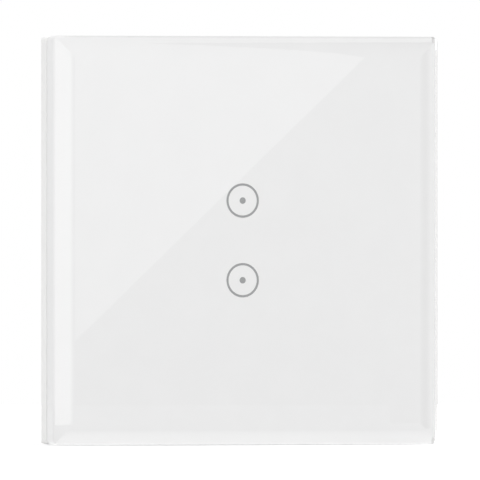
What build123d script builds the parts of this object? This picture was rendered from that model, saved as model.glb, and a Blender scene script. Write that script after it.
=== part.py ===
# Touch light switch for one gang: a glass panel with two touch fields, one above the other.
# The panel pulls off the insert behind it, which is a steel strap carrying a touch board in
# front of the wall and a housing with two relays and four screw terminals inside the wall box.
#
# Millimetres. +X is to the right, +Y goes into the wall and +Z is up. The origin is the middle
# of the two box-screw slots, on the strap's rear face. The panel faces -Y.
#
# Names that end in _y are places along Y. Names that end in _x and _z are places along X and Z.
from build123d import *
import math
import os

# Shared values
overrun = 1.0  # how far a cutting shape runs past the face that it cuts
board_gap = 0.3  # between a circuit board and the walls or bosses beside it
thread_clearance = 0.1  # between a machine screw and what it runs in
self_tapping_clearance = 0.05  # between a self-tapping screw and its pilot hole
solder_proud = 0.8  # of a pin or lead past its board
lead_clearance = 0.12  # between a pin or lead and its hole
screw_tip_share = 0.5  # of the shank's radius, for the chamfer at a screw's tip
cross_recess_width = 0.7
cross_recess_depth_share = 0.7  # of the head's height
cross_recess_length_share = 1.25  # of the head's radius

# Steel mounting strap, whose rear face is the plane Y = 0
strap_margin = 5.5  # from a box screw's place to the strap's edge
strap_thickness = 1.0
strap_corner_radius = 4.0
strap_lap = 2.0  # of the strap over the housing's ends
strap_opening_radius = 2.0
box_screw_pitch = 60.0
box_slot_width = 3.5
box_slot_length = 7.0
lug_width = 8.0
lug_height = 1.7
lug_pitch = 44.0
lug_bead_radius = 0.4
lug_bead_drop = 0.65  # from the lug's tip to the middle of its bead
lug_relief_width = 0.8
lug_relief_depth = 1.8

# Glass panel and what is printed and stuck on its back
panel_overhang = 5.5  # of the glass past the strap
glass_thickness = 5.0
glass_corner_radius = 1.2
glass_arris = 0.4
glass_edge_width = 4.2  # how far in from its edges the front starts to curve down
glass_edge_drop = 0.9
print_thickness = 0.15
print_margin = 0.4
print_corner_radius = 0.8
symbol_pitch = 16.0
symbol_ring_diameter = 6.45  # to the middle of its stroke
symbol_ring_stroke = 0.45
symbol_dot_diameter = 1.3
symbol_gap = 0.03  # between the grey ink and the white enamel round it
tape_thickness = 0.4
tape_width = 4.0
tape_inset = 0.6
tape_corner_radius = 0.8

# Moulded frame that carries the glass
frame_setback = 0.1  # of the frame's sides behind the glass edge
frame_depth = 4.3
frame_wall_gap = 0.3  # between the frame and the wall
frame_plate_thickness = 1.4
frame_wall = 1.6
frame_corner_radius = 1.1
frame_curve_depth = 2.4  # of the rear part of its sides, which curves in towards the wall
frame_curve_inset = 0.4
frame_lap = 2.5  # of the frame's plate over the strap's edges
frame_opening_radius = 6.0
lug_slot_clearance = 0.4
pry_notch_width = 8.0
pry_notch_depth = 0.9
frame_rib_width = 1.0
frame_rib_height = 1.0
frame_rib_gap = 1.0  # between the strap's edge and the ribs
frame_rib_shares = (-0.75, -0.2, 0.2, 0.75)  # of the frame's half side

# Leaf springs in the frame, which snap behind the beads on the strap's lugs
leaf_thickness = 0.4
leaf_height = 1.1
leaf_length = 15.0
leaf_foot_length = 1.2
leaf_bow = 0.7
leaf_clearance = 0.12
leaf_post_width = 1.8
leaf_post_length = 1.8
leaf_post_gap = 0.3  # between the strap's edge and the post

# Front cover, which carries the touch board and lies on the strap
cover_corner_radius = 3.0
cover_edge_radius = 0.4
cover_print_gap = 0.55  # between the cover and the print on the glass
cover_plate_thickness = 1.4
cover_wall = 1.4
cover_ring_clearance = 0.4  # between the cover's ring and the strap's opening
cover_ring_wall = 1.2
spring_window_diameter = 10.8
cover_screw_inset = 4.0  # from the housing's side to the screws
cover_screw_z = 11.0
cover_screw_radius = 1.25
cover_screw_head_radius = 2.1
cover_screw_head_height = 1.0
cover_screw_length = 9.5
screw_hole_clearance = 0.2
cover_notch_clearance = 0.6
peg_radius = 0.9
peg_head_radius = 1.5
peg_head_height = 0.4
peg_inset = 2.2
peg_clearance = 0.1

# Touch board and what it carries
touch_board_front_y = 1.4
touch_board_thickness = 1.2
touch_spring_diameter = 9.0
touch_spring_wire = 0.5
touch_spring_turns = 4
touch_spring_gap = 0.08  # at the board and at the print
guide_radius = 1.8
guide_foot_radius = 2.6
guide_foot_height = 0.6
guide_print_gap = 0.3
guide_pocket_radius = 1.3
guide_pocket_depth = 0.9
led_length = 1.6
led_width = 0.8
led_height = 0.6
chip_length = 9.9
chip_width = 3.9
chip_height = 1.3
chip_standoff = 0.1
chip_leg_count = 8  # on each long side
chip_leg_pitch = 1.27
chip_leg_width = 0.4
chip_leg_length = 1.0
chip_leg_height = 0.5
passive_length = 1.6
passive_width = 0.8
passive_height = 0.6
passive_x = 9.5
passive_column_pitch = 2.6
passive_row_pitch = 3.2
passive_rows = 5
passive_columns = 2

# Pin header between the two boards
header_inset = 2.1  # from the touch board's edge
header_z = 5.5
header_pins = 5
header_pin_spacing = 2.54
header_pin_side = 0.64
header_spacer_height = 2.5
header_front_proud = 0.8

# Rear housing, which goes into the wall box
housing_corner_cut = 12.0  # of the housing's diameter past its width
housing_wall = 1.5
housing_rear_radius = 0.8
claw_recess_depth = 1.5
claw_recess_height = 13.0
boss_radius = 2.4
boss_web = 2.0
boss_hole_depth = 9.0
pillar_radius = 2.0
pillar_relay_gap = 3.1  # from the right relay's side to the upper pillars
pillar_high_inset = 5.5  # from the housing's top to the upper pillars
pillar_side_inset = 7.0  # from the housing's side to the lower pillars
pillar_low_rise = 6.1  # from the board's lower edge to the lower pillars
pillar_hole_end = 0.3  # past the board screw's tip
board_screw_radius = 1.0
board_screw_length = 5.4
board_screw_head_radius = 1.8
board_screw_head_height = 1.1
vent_count = 5
vent_pitch = 4.0
vent_width = 1.4
vent_length = 8.0
vent_z = -4.5
label_width = 20.0
label_height = 10.0
label_depth = 0.3
label_z = 9.0

# Power board
power_board_front_y = 15.4
power_board_thickness = 1.6
power_board_floor_gap = 5.5  # between the board and the housing's floor
power_board_edge = 2.5  # from the board's lower edge to the first parts
power_board_wing_low_rise = 4.6
power_board_wing_height = 16.0
parts_gap = 0.8  # between the larger parts

# Screw terminals with rising cages
terminal_count = 4
terminal_pitch = 8.0
cage_width = 6.6
cage_wall = 0.9
cage_floor = 1.0
cage_thread_wall = 1.6
cage_length = 6.2
cage_low_gap = 0.6  # between the cage and the housing's lower wall
cage_board_gap = 1.6  # between the cage and the power board's lower edge
wire_room = 4.4
busbar_thickness = 1.0
busbar_width = 4.2
busbar_cage_gap = 0.4
busbar_board_gap = 0.9
busbar_end_gap = 0.8
busbar_pin_width = 1.4
busbar_pin_depth = 1.2
busbar_pin_edge = 0.8
clamp_travel = 4.0
terminal_screw_radius = 1.75
terminal_screw_head_radius = 2.7
terminal_screw_head_height = 1.6
terminal_screw_tip_gap = 0.1
terminal_screw_wall_gap = 0.2
driver_slot_width = 0.8
driver_slot_depth = 0.8
driver_hole_radius = 2.2
partition_thickness = 0.8
partition_depth = 15.6
partition_height = 7.8
wire_window_margin = 0.1  # of the window past the wire's room

# Spreader claws and their screws
claw_screw_gap = 3.1  # from the housing's recess to the claw screw
claw_screw_radius = 1.5
claw_screw_head_radius = 2.6
claw_screw_head_height = 1.8
claw_screw_length = 18.5
claw_thickness = 1.2
claw_width = 8.0
claw_lug_y = 14.0
claw_wall_gap = 0.6  # between the claw and the housing's recess
claw_arm_gap = 3.6  # from the claw screw to the outside of the claw's arm
claw_arm_length = 9.2
claw_bend_radius = 1.0
claw_slot_length = 3.9
claw_slot_width = 3.3
claw_slot_offset = 0.2  # of the slot outwards from the screw
claw_tooth_height = 0.6
claw_tooth_length = 1.2
claw_tooth_count = 3
claw_ledge_reach = 1.3
claw_ledge_gap = 0.3
claw_ledge_depth = 2.0

# Relays, which stand side by side on the power board
relay_width = 10.0
relay_length = 20.0
relay_height = 12.0
relay_high_gap = 0.8  # between the relays and the housing's upper wall
relay_case_wall = 0.7
relay_base_thickness = 1.2
relay_end_gap = 0.5  # between the blade and the case's upper wall
yoke_thickness = 0.9
yoke_width = 7.0
yoke_case_gap = 0.3
core_radius = 1.2
core_drop = 4.6  # from the inside of the case to the middle of the coil
pole_radius = 2.4
pole_thickness = 0.8
pole_gap = 0.45
coil_radius = 2.9
coil_core_gap = 0.4
coil_end_gap = 0.2
bobbin_side = 6.4
bobbin_flange_thickness = 1.0
bobbin_core_gap = 0.1
bobbin_tube_wall = 0.25
armature_thickness = 0.9
armature_width = 6.6
armature_tail = 3.2  # past the middle of the coil
hinge_gap = 0.15
blade_thickness = 0.3
blade_width = 3.0
blade_tail = 2.0
contact_radius = 0.8
contact_height = 0.5
contact_gap = 0.55
contact_armature_gap = 0.3
contact_strip_thickness = 0.4
contact_strip_width = 2.4
relay_pin_width = 1.0
coil_pin_radius = 0.3
coil_pin_pitch = 5.0
coil_pin_rise = 0.65  # above the yoke's foot

# Other parts on the power board
lead_radius = 0.35
film_capacitor_width = 13.0
film_capacitor_height = 11.0
film_capacitor_thickness = 6.0
film_capacitor_x = -7.1
film_capacitor_radius = 0.6
film_capacitor_lead_pitch = 10.0
transformer_side = 9.5
transformer_height = 9.0
transformer_core_height = 5.0
transformer_core_wall = 1.0
transformer_core_gap = 0.8  # between the core and the board
transformer_edge_radius = 0.8
transformer_lead_pitch = 5.0
smoothing_capacitor_radius = 4.0
smoothing_capacitor_height = 11.0
smoothing_capacitor_z = 3.5
smoothing_capacitor_edge_radius = 0.5
smoothing_capacitor_groove_radius = 0.35
smoothing_capacitor_groove_height = 1.6
smoothing_capacitor_lead_pitch = 3.5
varistor_radius = 4.2
varistor_thickness = 3.2
varistor_edge_radius = 0.8
varistor_board_gap = 1.0
varistor_lead_pitch = 5.0
fuse_radius = 1.3
fuse_length = 8.6
fuse_edge_radius = 0.4
fuse_relay_gap = 0.3
fuse_z = 5.6
fuse_board_gap = 0.9
fuse_lead_overhang = 1.3
rear_chip_sizes = ((6.6, 2.5, 5.0), (6.5, 1.8, 3.5), (4.9, 1.6, 3.9))
rear_chip_places = ((-8.0, 8.8), (2.5, 12.4), (5.4, 7.0))  # Z counts from the relays' foot

# Places along Y, from the wall towards the front
strap_front_y = -strap_thickness
frame_rear_y = -frame_wall_gap
frame_front_y = frame_rear_y - frame_depth
frame_plate_rear_y = frame_front_y + frame_plate_thickness
print_rear_y = frame_front_y - tape_thickness
glass_rear_y = print_rear_y - print_thickness
glass_front_y = glass_rear_y - glass_thickness
cover_front_y = print_rear_y + cover_print_gap
cover_plate_rear_y = cover_front_y + cover_plate_thickness
lug_tip_y = strap_front_y - lug_height
lug_bead_y = lug_tip_y + lug_bead_drop
leaf_front_y = lug_bead_y + lug_bead_radius + leaf_clearance
leaf_rear_y = leaf_front_y + leaf_height

# Places along Y, from the wall into the wall box
touch_board_rear_y = touch_board_front_y + touch_board_thickness
power_board_rear_y = power_board_front_y + power_board_thickness
housing_floor_y = power_board_rear_y + power_board_floor_gap
housing_depth = housing_floor_y + housing_wall
solder_y = power_board_rear_y + solder_proud
busbar_rear_y = power_board_front_y - busbar_board_gap
busbar_front_y = busbar_rear_y - busbar_thickness
cage_room_front_y = busbar_front_y - wire_room
cage_room_rear_y = busbar_rear_y + busbar_cage_gap
terminal_head_rear_y = housing_floor_y - terminal_screw_wall_gap
terminal_head_front_y = terminal_head_rear_y - terminal_screw_head_height

# The housing's height and width, from what stands inside it
housing_height = (
    2 * housing_wall
    + cage_low_gap
    + cage_length
    + cage_board_gap
    + power_board_edge
    + transformer_side
    + parts_gap
    + relay_length
    + relay_high_gap
)
relay_spacing = relay_width + parts_gap
relay_outer_x = (relay_spacing + relay_width) / 2
smoothing_capacitor_x = relay_outer_x + parts_gap + smoothing_capacitor_radius
recess_x = smoothing_capacitor_x + smoothing_capacitor_radius + parts_gap + housing_wall
housing_width = 2 * (recess_x + claw_recess_depth)
housing_diameter = housing_width + housing_corner_cut
housing_low_z = -housing_height / 2

# Places and sizes that several pieces share
strap_side = box_screw_pitch + 2 * strap_margin
panel_side = strap_side + 2 * panel_overhang
print_side = panel_side - 2 * print_margin
frame_side = panel_side - 2 * frame_setback
frame_inner_side = frame_side - 2 * frame_wall
strap_edge = strap_side / 2
symbol_places = (symbol_pitch / 2, -symbol_pitch / 2)
leaf_inner_x = strap_edge + leaf_clearance
leaf_foot_x = leaf_inner_x + leaf_bow
cover_side = housing_width
cover_screw_x = housing_width / 2 - cover_screw_inset
board_width = 2 * (cover_screw_x - boss_radius - board_gap)
strap_opening_width = board_width + 2 * cover_ring_clearance
strap_opening_height = housing_height - 2 * strap_lap
frame_opening = strap_side - 2 * frame_lap
ring_height = strap_opening_height - 2 * cover_ring_clearance
ring_corner_radius = strap_opening_radius - cover_ring_clearance
peg_x = board_width / 2 - peg_inset
peg_z = ring_height / 2 - peg_inset
cage_low_z = housing_low_z + housing_wall + cage_low_gap
cage_high_z = cage_low_z + cage_length
cage_middle_z = cage_low_z + cage_length / 2
terminal_places = [(i - (terminal_count - 1) / 2) * terminal_pitch for i in range(terminal_count)]
power_board_low_z = cage_high_z + cage_board_gap
parts_low_z = power_board_low_z + power_board_edge
relay_low_z = parts_low_z + transformer_side + parts_gap
busbar_pin_low_z = power_board_low_z + busbar_pin_edge
busbar_high_z = busbar_pin_low_z + busbar_pin_depth
header_x = header_inset - board_width / 2
header_places = [header_z + (i - (header_pins - 1) / 2) * header_pin_spacing for i in range(header_pins)]
pillar_upper_x = relay_outer_x + pillar_relay_gap
pillar_upper_z = housing_height / 2 - pillar_high_inset
pillar_lower_x = housing_width / 2 - pillar_side_inset
pillar_lower_z = power_board_low_z + pillar_low_rise
pillar_places = [
    (side * x, z)
    for x, z in ((pillar_upper_x, pillar_upper_z), (pillar_lower_x, pillar_lower_z))
    for side in (1, -1)
]
claw_inner_x = recess_x + claw_wall_gap
claw_screw_x = recess_x + claw_screw_gap
claw_arm_x = claw_screw_x + claw_arm_gap

# Places inside a relay
relay_places = (-relay_spacing / 2, relay_spacing / 2)
relay_front_y = power_board_front_y - relay_height
relay_base_y = power_board_front_y - relay_base_thickness
relay_high_z = relay_low_z + relay_length
yoke_front_y = relay_front_y + relay_case_wall + yoke_case_gap
yoke_rear_y = yoke_front_y + yoke_thickness
coil_y = relay_front_y + relay_case_wall + core_drop
yoke_low_z = relay_low_z + relay_case_wall + yoke_case_gap
yoke_foot_z = yoke_low_z + yoke_thickness
blade_high_z = relay_high_z - relay_case_wall - relay_end_gap
blade_low_z = blade_high_z - blade_thickness
armature_low_z = blade_low_z - armature_thickness
pole_high_z = armature_low_z - pole_gap
pole_low_z = pole_high_z - pole_thickness
armature_tail_y = coil_y + armature_tail
blade_tail_y = armature_tail_y + blade_tail
contact_y = armature_tail_y + contact_armature_gap + contact_radius
strip_high_z = blade_low_z - 2 * contact_height - contact_gap
strip_low_z = strip_high_z - contact_strip_thickness
coil_pin_z = yoke_foot_z + coil_pin_rise

# Places of the other parts on the power board
film_capacitor_z = parts_low_z + film_capacitor_thickness / 2
transformer_x = film_capacitor_x + film_capacitor_width / 2 + parts_gap + transformer_side / 2
transformer_z = parts_low_z + transformer_side / 2
varistor_x = transformer_x + transformer_side / 2 + parts_gap + varistor_thickness / 2
varistor_z = parts_low_z + varistor_radius
fuse_x = -relay_outer_x - fuse_relay_gap - fuse_radius
fuse_reach = fuse_length / 2 + fuse_lead_overhang
fuse_y = power_board_front_y - fuse_board_gap - fuse_radius
film_capacitor_leads = [
    (film_capacitor_x + side * film_capacitor_lead_pitch / 2, film_capacitor_z) for side in (1, -1)
]
transformer_leads = [
    (transformer_x + x * transformer_lead_pitch / 2, transformer_z + z * transformer_lead_pitch / 2)
    for x in (1, -1)
    for z in (1, -1)
]
smoothing_capacitor_leads = [
    (smoothing_capacitor_x, smoothing_capacitor_z + side * smoothing_capacitor_lead_pitch / 2)
    for side in (1, -1)
]
varistor_leads = [(varistor_x, varistor_z + side * varistor_lead_pitch / 2) for side in (1, -1)]
fuse_leads = [(fuse_x, fuse_z + side * fuse_reach) for side in (1, -1)]
short_leads = film_capacitor_leads + transformer_leads + smoothing_capacitor_leads
coil_pin_places = [
    (x + side * coil_pin_pitch / 2, coil_pin_z) for x in relay_places for side in (1, -1)
]


def block(x, y, z):
    """A box between the (low, high) pairs x, y and z."""
    size = [high - low for low, high in (x, y, z)]
    middle = [(high + low) / 2 for low, high in (x, y, z)]
    return Pos(*middle) * Box(*size)


def around(middle, size):
    """The (low, high) pair of a size centred on a place."""
    return (middle - size / 2, middle + size / 2)


def mirrored(low, high, side):
    """The (low, high) pair on the right or, for side -1, its mirror image on the left."""
    return (low, high) if side > 0 else (-high, -low)


def rod(radius, y, x=0, z=0):
    """A round bar along Y between the (low, high) pair y."""
    return Pos(x, (y[0] + y[1]) / 2, z) * Rot(90, 0, 0) * Cylinder(radius, y[1] - y[0])


def upright_rod(radius, x, y, z):
    """A round bar along Z between the (low, high) pair z."""
    return Pos(x, y, (z[0] + z[1]) / 2) * Cylinder(radius, z[1] - z[0])


def plate(sketch, y):
    """A sketch in X and Z, given thickness between the (low, high) pair y."""
    return Pos(0, y[1], 0) * extrude(Plane.XZ * sketch, y[1] - y[0])


def four_ways(x, z):
    """The four places (x, z) mirrored about both axes."""
    return [(x, z), (-x, z), (x, -z), (-x, -z)]


def front_edges(shape):
    """The edges that lie in the shape's frontmost plane."""
    return shape.edges().group_by(Axis.Y)[0]


def rear_edges(shape):
    """The edges that lie in the shape's rearmost plane."""
    return shape.edges().group_by(Axis.Y)[-1]


def symbol_sketch(growth=0):
    """A ring with a dot in its middle for each touch field, all grown by the same margin."""
    middle = symbol_ring_diameter / 2
    half_stroke = symbol_ring_stroke / 2 + growth
    ring = Circle(middle + half_stroke) - Circle(middle - half_stroke)
    mark = ring + Circle(symbol_dot_diameter / 2 + growth)
    return Sketch() + [Pos(0, z) * mark for z in symbol_places]


def glass_profile():
    """The glass cut across: a flat front that curves down a little to both edges, and a flat back."""
    half = panel_side / 2
    rim = half - glass_arris
    flat = half - glass_edge_width
    drop_y = glass_front_y + glass_edge_drop
    edge = Curve() + [
        TangentArc((flat, glass_front_y), (rim, drop_y), tangent=(1, 0)),
        Line((rim, drop_y), (half, drop_y + glass_arris)),
        Line((half, drop_y + glass_arris), (half, glass_rear_y - glass_arris)),
        Line((half, glass_rear_y - glass_arris), (rim, glass_rear_y)),
    ]
    front = Line((-flat, glass_front_y), (flat, glass_front_y))
    back = Line((rim, glass_rear_y), (-rim, glass_rear_y))
    return make_face(edge + mirror(edge, Plane.YZ) + front + back)


def glass_panel():
    """Toughened glass with its front edges curved down all round and its corners rounded."""
    bar = extrude(glass_profile(), panel_side, both=True)
    outline = RectangleRounded(panel_side, panel_side, glass_corner_radius)
    sheet = plate(outline, (glass_front_y - overrun, glass_rear_y + overrun))
    return sheet & bar & Rot(0, 90, 0) * bar


def white_backprint():
    """The white enamel on the back of the glass, open where the symbols are."""
    outline = RectangleRounded(print_side, print_side, print_corner_radius)
    return plate(outline - symbol_sketch(symbol_gap), (glass_rear_y, print_rear_y))


def touch_symbols():
    """The grey rings and dots, which fill the openings in the white enamel."""
    return plate(symbol_sketch(), (glass_rear_y, print_rear_y))


def adhesive_tape():
    """A square ring of foam tape that holds the glass to the frame."""
    outer = print_side - 2 * tape_inset
    inner = outer - 2 * tape_width
    ring = RectangleRounded(outer, outer, tape_corner_radius)
    ring -= RectangleRounded(inner, inner, tape_corner_radius)
    return plate(ring, (print_rear_y, frame_front_y))


def leaf_outline(side, z):
    """One leaf spring seen from the front: two straight feet and a bow towards the strap."""
    half = leaf_length / 2
    bend = half - leaf_foot_length
    far_x = leaf_foot_x + leaf_thickness
    bow_x = leaf_inner_x + leaf_thickness
    lines = Curve() + [
        Line((leaf_foot_x, -half), (leaf_foot_x, -bend)),
        ThreePointArc((leaf_foot_x, -bend), (leaf_inner_x, 0), (leaf_foot_x, bend)),
        Line((leaf_foot_x, bend), (leaf_foot_x, half)),
        Line((leaf_foot_x, half), (far_x, half)),
        Line((far_x, half), (far_x, bend)),
        ThreePointArc((far_x, bend), (bow_x, 0), (far_x, -bend)),
        Line((far_x, -bend), (far_x, -half)),
        Line((far_x, -half), (leaf_foot_x, -half)),
    ]
    face = Pos(0, z) * make_face(lines)
    return face if side > 0 else mirror(face, Plane.YZ)


def retaining_springs():
    """Four spring steel leaves in the frame, each bowed in behind a bead on the strap's lugs."""
    leaves = [leaf_outline(side, z) for side, z in four_ways(1, lug_pitch / 2)]
    return plate(Sketch() + leaves, (leaf_front_y, leaf_rear_y))


def frame_profile():
    """The frame's outside cut across: its sides start square and curve in towards the wall."""
    half = frame_side / 2
    curve_y = frame_rear_y - frame_curve_depth
    rim = half - frame_curve_inset
    side = Curve() + [
        Line((half, frame_front_y), (half, curve_y)),
        TangentArc((half, curve_y), (rim, frame_rear_y), tangent=(0, 1)),
    ]
    front = Line((-half, frame_front_y), (half, frame_front_y))
    rear = Line((rim, frame_rear_y), (-rim, frame_rear_y))
    return make_face(side + mirror(side, Plane.YZ) + front + rear)


def panel_frame():
    """The white moulded frame: a rim behind the glass, a plate for the tape and slots for the lugs."""
    outline = RectangleRounded(frame_side, frame_side, frame_corner_radius)
    bar = extrude(frame_profile(), frame_side, both=True)
    body = plate(outline, (frame_front_y - overrun, frame_rear_y + overrun))
    body = body & bar & Rot(0, 90, 0) * bar
    hollow = RectangleRounded(frame_inner_side, frame_inner_side, frame_corner_radius)
    body -= plate(hollow, (frame_plate_rear_y, frame_rear_y + overrun))
    opening = RectangleRounded(frame_opening, frame_opening, frame_opening_radius)
    body -= plate(opening, (frame_front_y - overrun, frame_rear_y + overrun))

    half_inner = frame_inner_side / 2
    rib_y = (frame_plate_rear_y, frame_plate_rear_y + frame_rib_height)
    for share in frame_rib_shares:
        x = around(share * frame_side / 2, frame_rib_width)
        for side in (1, -1):
            body += block(x, rib_y, mirrored(strap_edge + frame_rib_gap, half_inner, side))

    post_y = (frame_plate_rear_y, leaf_rear_y)
    post_inner_x = strap_edge + leaf_post_gap
    post_outer_x = leaf_foot_x + leaf_thickness + leaf_post_width / 2
    post_reach = leaf_length / 2 - leaf_foot_length + leaf_post_length / 2
    slot_inner_x = strap_edge - strap_thickness - lug_slot_clearance
    slot_outer_x = strap_edge + lug_bead_radius + lug_slot_clearance
    slot_y = (frame_front_y - overrun, frame_plate_rear_y + overrun)
    for side, z in four_ways(1, lug_pitch / 2):
        slot_z = around(z, lug_width + 2 * lug_slot_clearance)
        body -= block(mirrored(slot_inner_x, slot_outer_x, side), slot_y, slot_z)
        for end in (1, -1):
            post_z = around(z + end * post_reach, leaf_post_length)
            body += block(mirrored(post_inner_x, post_outer_x, side), post_y, post_z)
    body -= retaining_springs()

    notch_y = (frame_rear_y - pry_notch_depth, frame_rear_y + overrun)
    notch_z = (-frame_side / 2 - overrun, -half_inner + overrun)
    return body - block(around(0, pry_notch_width), notch_y, notch_z)


def mounting_strap():
    """The galvanised strap, with slots for the box screws and four lugs bent forward for the panel."""
    outline = RectangleRounded(strap_side, strap_side, strap_corner_radius)
    outline -= RectangleRounded(strap_opening_width, strap_opening_height, strap_opening_radius)
    for side in (1, -1):
        slot = SlotOverall(box_slot_length, box_slot_width, rotation=90)
        outline -= Pos(0, side * box_screw_pitch / 2) * slot
        outline -= Pos(side * claw_screw_x, 0) * Circle(claw_screw_radius + screw_hole_clearance)
    for x, z in four_ways(cover_screw_x, cover_screw_z):
        outline -= Pos(x, z) * Circle(cover_screw_radius + screw_hole_clearance)
    for side, z in four_ways(1, lug_pitch / 2):
        for end in (1, -1):
            relief = Rectangle(2 * lug_relief_depth, lug_relief_width)
            middle = z + end * (lug_width + lug_relief_width) / 2
            outline -= Pos(side * strap_edge, middle) * relief
    strap = plate(outline, (strap_front_y, 0))
    for side, z in four_ways(1, lug_pitch / 2):
        x = mirrored(strap_edge - strap_thickness, strap_edge, side)
        strap += block(x, (lug_tip_y, 0), around(z, lug_width))
        bead_z = around(z, lug_width)
        strap += upright_rod(lug_bead_radius, side * strap_edge, lug_bead_y, bead_z)
    return strap


def front_cover():
    """The cover over the touch board: a shell on the strap, a ring through it and four staked pegs."""
    outline = RectangleRounded(cover_side, cover_side, cover_corner_radius)
    cover = plate(outline, (cover_front_y, strap_front_y))
    cover = fillet(front_edges(cover), cover_edge_radius)
    through = (cover_front_y - overrun, strap_front_y + overrun)
    window_radius = spring_window_diameter / 2
    notch_radius = claw_screw_head_radius + cover_notch_clearance
    screw_boss_radius = cover_screw_head_radius + screw_hole_clearance + cover_wall
    hollow_side = cover_side - 2 * cover_wall
    hollow = RectangleRounded(hollow_side, hollow_side, cover_corner_radius - cover_wall)
    for z in symbol_places:
        hollow -= Pos(0, z) * Circle(window_radius + cover_wall)
    for side in (1, -1):
        hollow -= Pos(side * claw_screw_x, 0) * Circle(notch_radius + cover_wall)
    for x, z in four_ways(cover_screw_x, cover_screw_z):
        hollow -= Pos(x, z) * Circle(screw_boss_radius)
    cover -= plate(hollow, (cover_plate_rear_y, strap_front_y + overrun))
    for z in symbol_places:
        cover -= rod(window_radius, through, 0, z)
    for side in (1, -1):
        cover -= rod(notch_radius, through, side * claw_screw_x, 0)

    ring = RectangleRounded(board_width, ring_height, ring_corner_radius)
    ring -= Rectangle(board_width - 2 * cover_ring_wall, ring_height - 2 * cover_ring_wall)
    cover += plate(ring, (cover_plate_rear_y, touch_board_front_y))
    for x, z in four_ways(peg_x, peg_z):
        head = (touch_board_rear_y, touch_board_rear_y + peg_head_height)
        cover += rod(peg_head_radius, (cover_plate_rear_y, touch_board_front_y), x, z)
        cover += rod(peg_radius, (touch_board_front_y, touch_board_rear_y), x, z)
        cover += rod(peg_head_radius, head, x, z)

    for x, z in four_ways(cover_screw_x, cover_screw_z):
        well = (cover_front_y - overrun, cover_front_y + cover_screw_head_height)
        cover -= rod(cover_screw_radius + screw_hole_clearance, through, x, z)
        cover -= rod(cover_screw_head_radius + screw_hole_clearance, well, x, z)
    return cover


def cross_head_screw(radius, length, head_radius, head_height):
    """A pan-head screw along +Y, with its seat at the origin and a cross recess in its head."""
    head = rod(head_radius, (-head_height, 0))
    head = fillet(front_edges(head), head_height / 2)
    shank = rod(radius, (0, length))
    shank = chamfer(rear_edges(shank), radius * screw_tip_share)
    recess_y = (-head_height - overrun, head_height * (cross_recess_depth_share - 1))
    long_way = around(0, head_radius * cross_recess_length_share)
    short_way = around(0, cross_recess_width)
    screw = head + shank
    screw -= block(long_way, recess_y, short_way)
    screw -= block(short_way, recess_y, long_way)
    return screw


def cover_screws():
    """Four self-tapping screws through the cover and the strap into the housing's bosses."""
    screw = cross_head_screw(
        cover_screw_radius, cover_screw_length, cover_screw_head_radius, cover_screw_head_height
    )
    seat_y = cover_front_y + cover_screw_head_height
    places = four_ways(cover_screw_x, cover_screw_z)
    return Compound([Pos(x, seat_y, z) * screw for x, z in places])


def touch_board():
    """The touch circuit board, with holes for the pegs and the header's pins."""
    outline = RectangleRounded(board_width, ring_height, ring_corner_radius)
    for x, z in four_ways(peg_x, peg_z):
        outline -= Pos(x, z) * Circle(peg_radius + peg_clearance)
    hole = header_pin_side + 2 * lead_clearance
    for z in header_places:
        outline -= Pos(header_x, z) * Rectangle(hole, hole)
    return plate(outline, (touch_board_front_y, touch_board_rear_y))


def biarc(start, start_way, end, end_way):
    """Two arcs that join two points and are tangent to the way given at each."""
    gap = end - start
    square = 2 * (1 - start_way.dot(end_way))
    slope = gap.dot(start_way + end_way)
    reach = (math.sqrt(slope * slope + square * gap.dot(gap)) - slope) / square
    middle = (start + end + (start_way - end_way) * reach) * 0.5
    first = TangentArc(start, middle, tangent=start_way)
    second = TangentArc(middle, end, tangent=first % 1)
    return [first, second]


def touch_spring_path(z):
    """The middle line of a touch spring, which rises from the board to the back of the glass."""
    radius = (touch_spring_diameter - touch_spring_wire) / 2
    foot_y = touch_board_front_y - touch_spring_gap - touch_spring_wire / 2
    tip_y = print_rear_y + touch_spring_gap + touch_spring_wire / 2
    rise = (foot_y - tip_y) / touch_spring_turns / (2 * math.pi)

    def point(angle):
        across = radius * math.cos(angle)
        return Vector(across, foot_y - rise * angle, z + radius * math.sin(angle))

    def way(angle):
        return Vector(-radius * math.sin(angle), -rise, radius * math.cos(angle)).normalized()

    quarter = math.pi / 2
    arcs = []
    for i in range(4 * touch_spring_turns):
        start, end = i * quarter, (i + 1) * quarter
        arcs += biarc(point(start), way(start), point(end), way(end))
    return Wire(arcs)


def touch_spring(z):
    """A touch spring: a coil of plated wire from the touch board to the back of the glass."""
    path = touch_spring_path(z)
    section = Plane(origin=path @ 0, z_dir=path % 0) * Circle(touch_spring_wire / 2)
    return sweep(section, path)


def touch_spring_least_gap():
    """The least gap between the spring's turns, measured between points along its middle line."""
    steps = 72  # in each turn
    count = steps * touch_spring_turns
    path = touch_spring_path(0)
    points = [path @ (i / count) for i in range(count + 1)]
    distances = [
        (points[i] - points[j]).length
        for i in range(count + 1)
        for j in range(i + steps // 2, count + 1)
    ]
    return min(distances) - touch_spring_wire


def light_guides():
    """Two clear pegs, each standing over a lamp to carry its light to a symbol's dot."""
    guides = []
    for z in symbol_places:
        foot_y = (touch_board_front_y - guide_foot_height, touch_board_front_y)
        pocket_y = (touch_board_front_y - guide_pocket_depth, touch_board_front_y + overrun)
        guide = rod(guide_radius, (print_rear_y + guide_print_gap, touch_board_front_y), 0, z)
        guide += rod(guide_foot_radius, foot_y, 0, z)
        guides.append(guide - rod(guide_pocket_radius, pocket_y, 0, z))
    return Compound(guides)


def indicator_leds():
    """Two small lamps on the touch board, each in the pocket of a light guide."""
    y = (touch_board_front_y - led_height, touch_board_front_y)
    return Compound([block(around(0, led_length), y, around(z, led_width)) for z in symbol_places])


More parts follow.
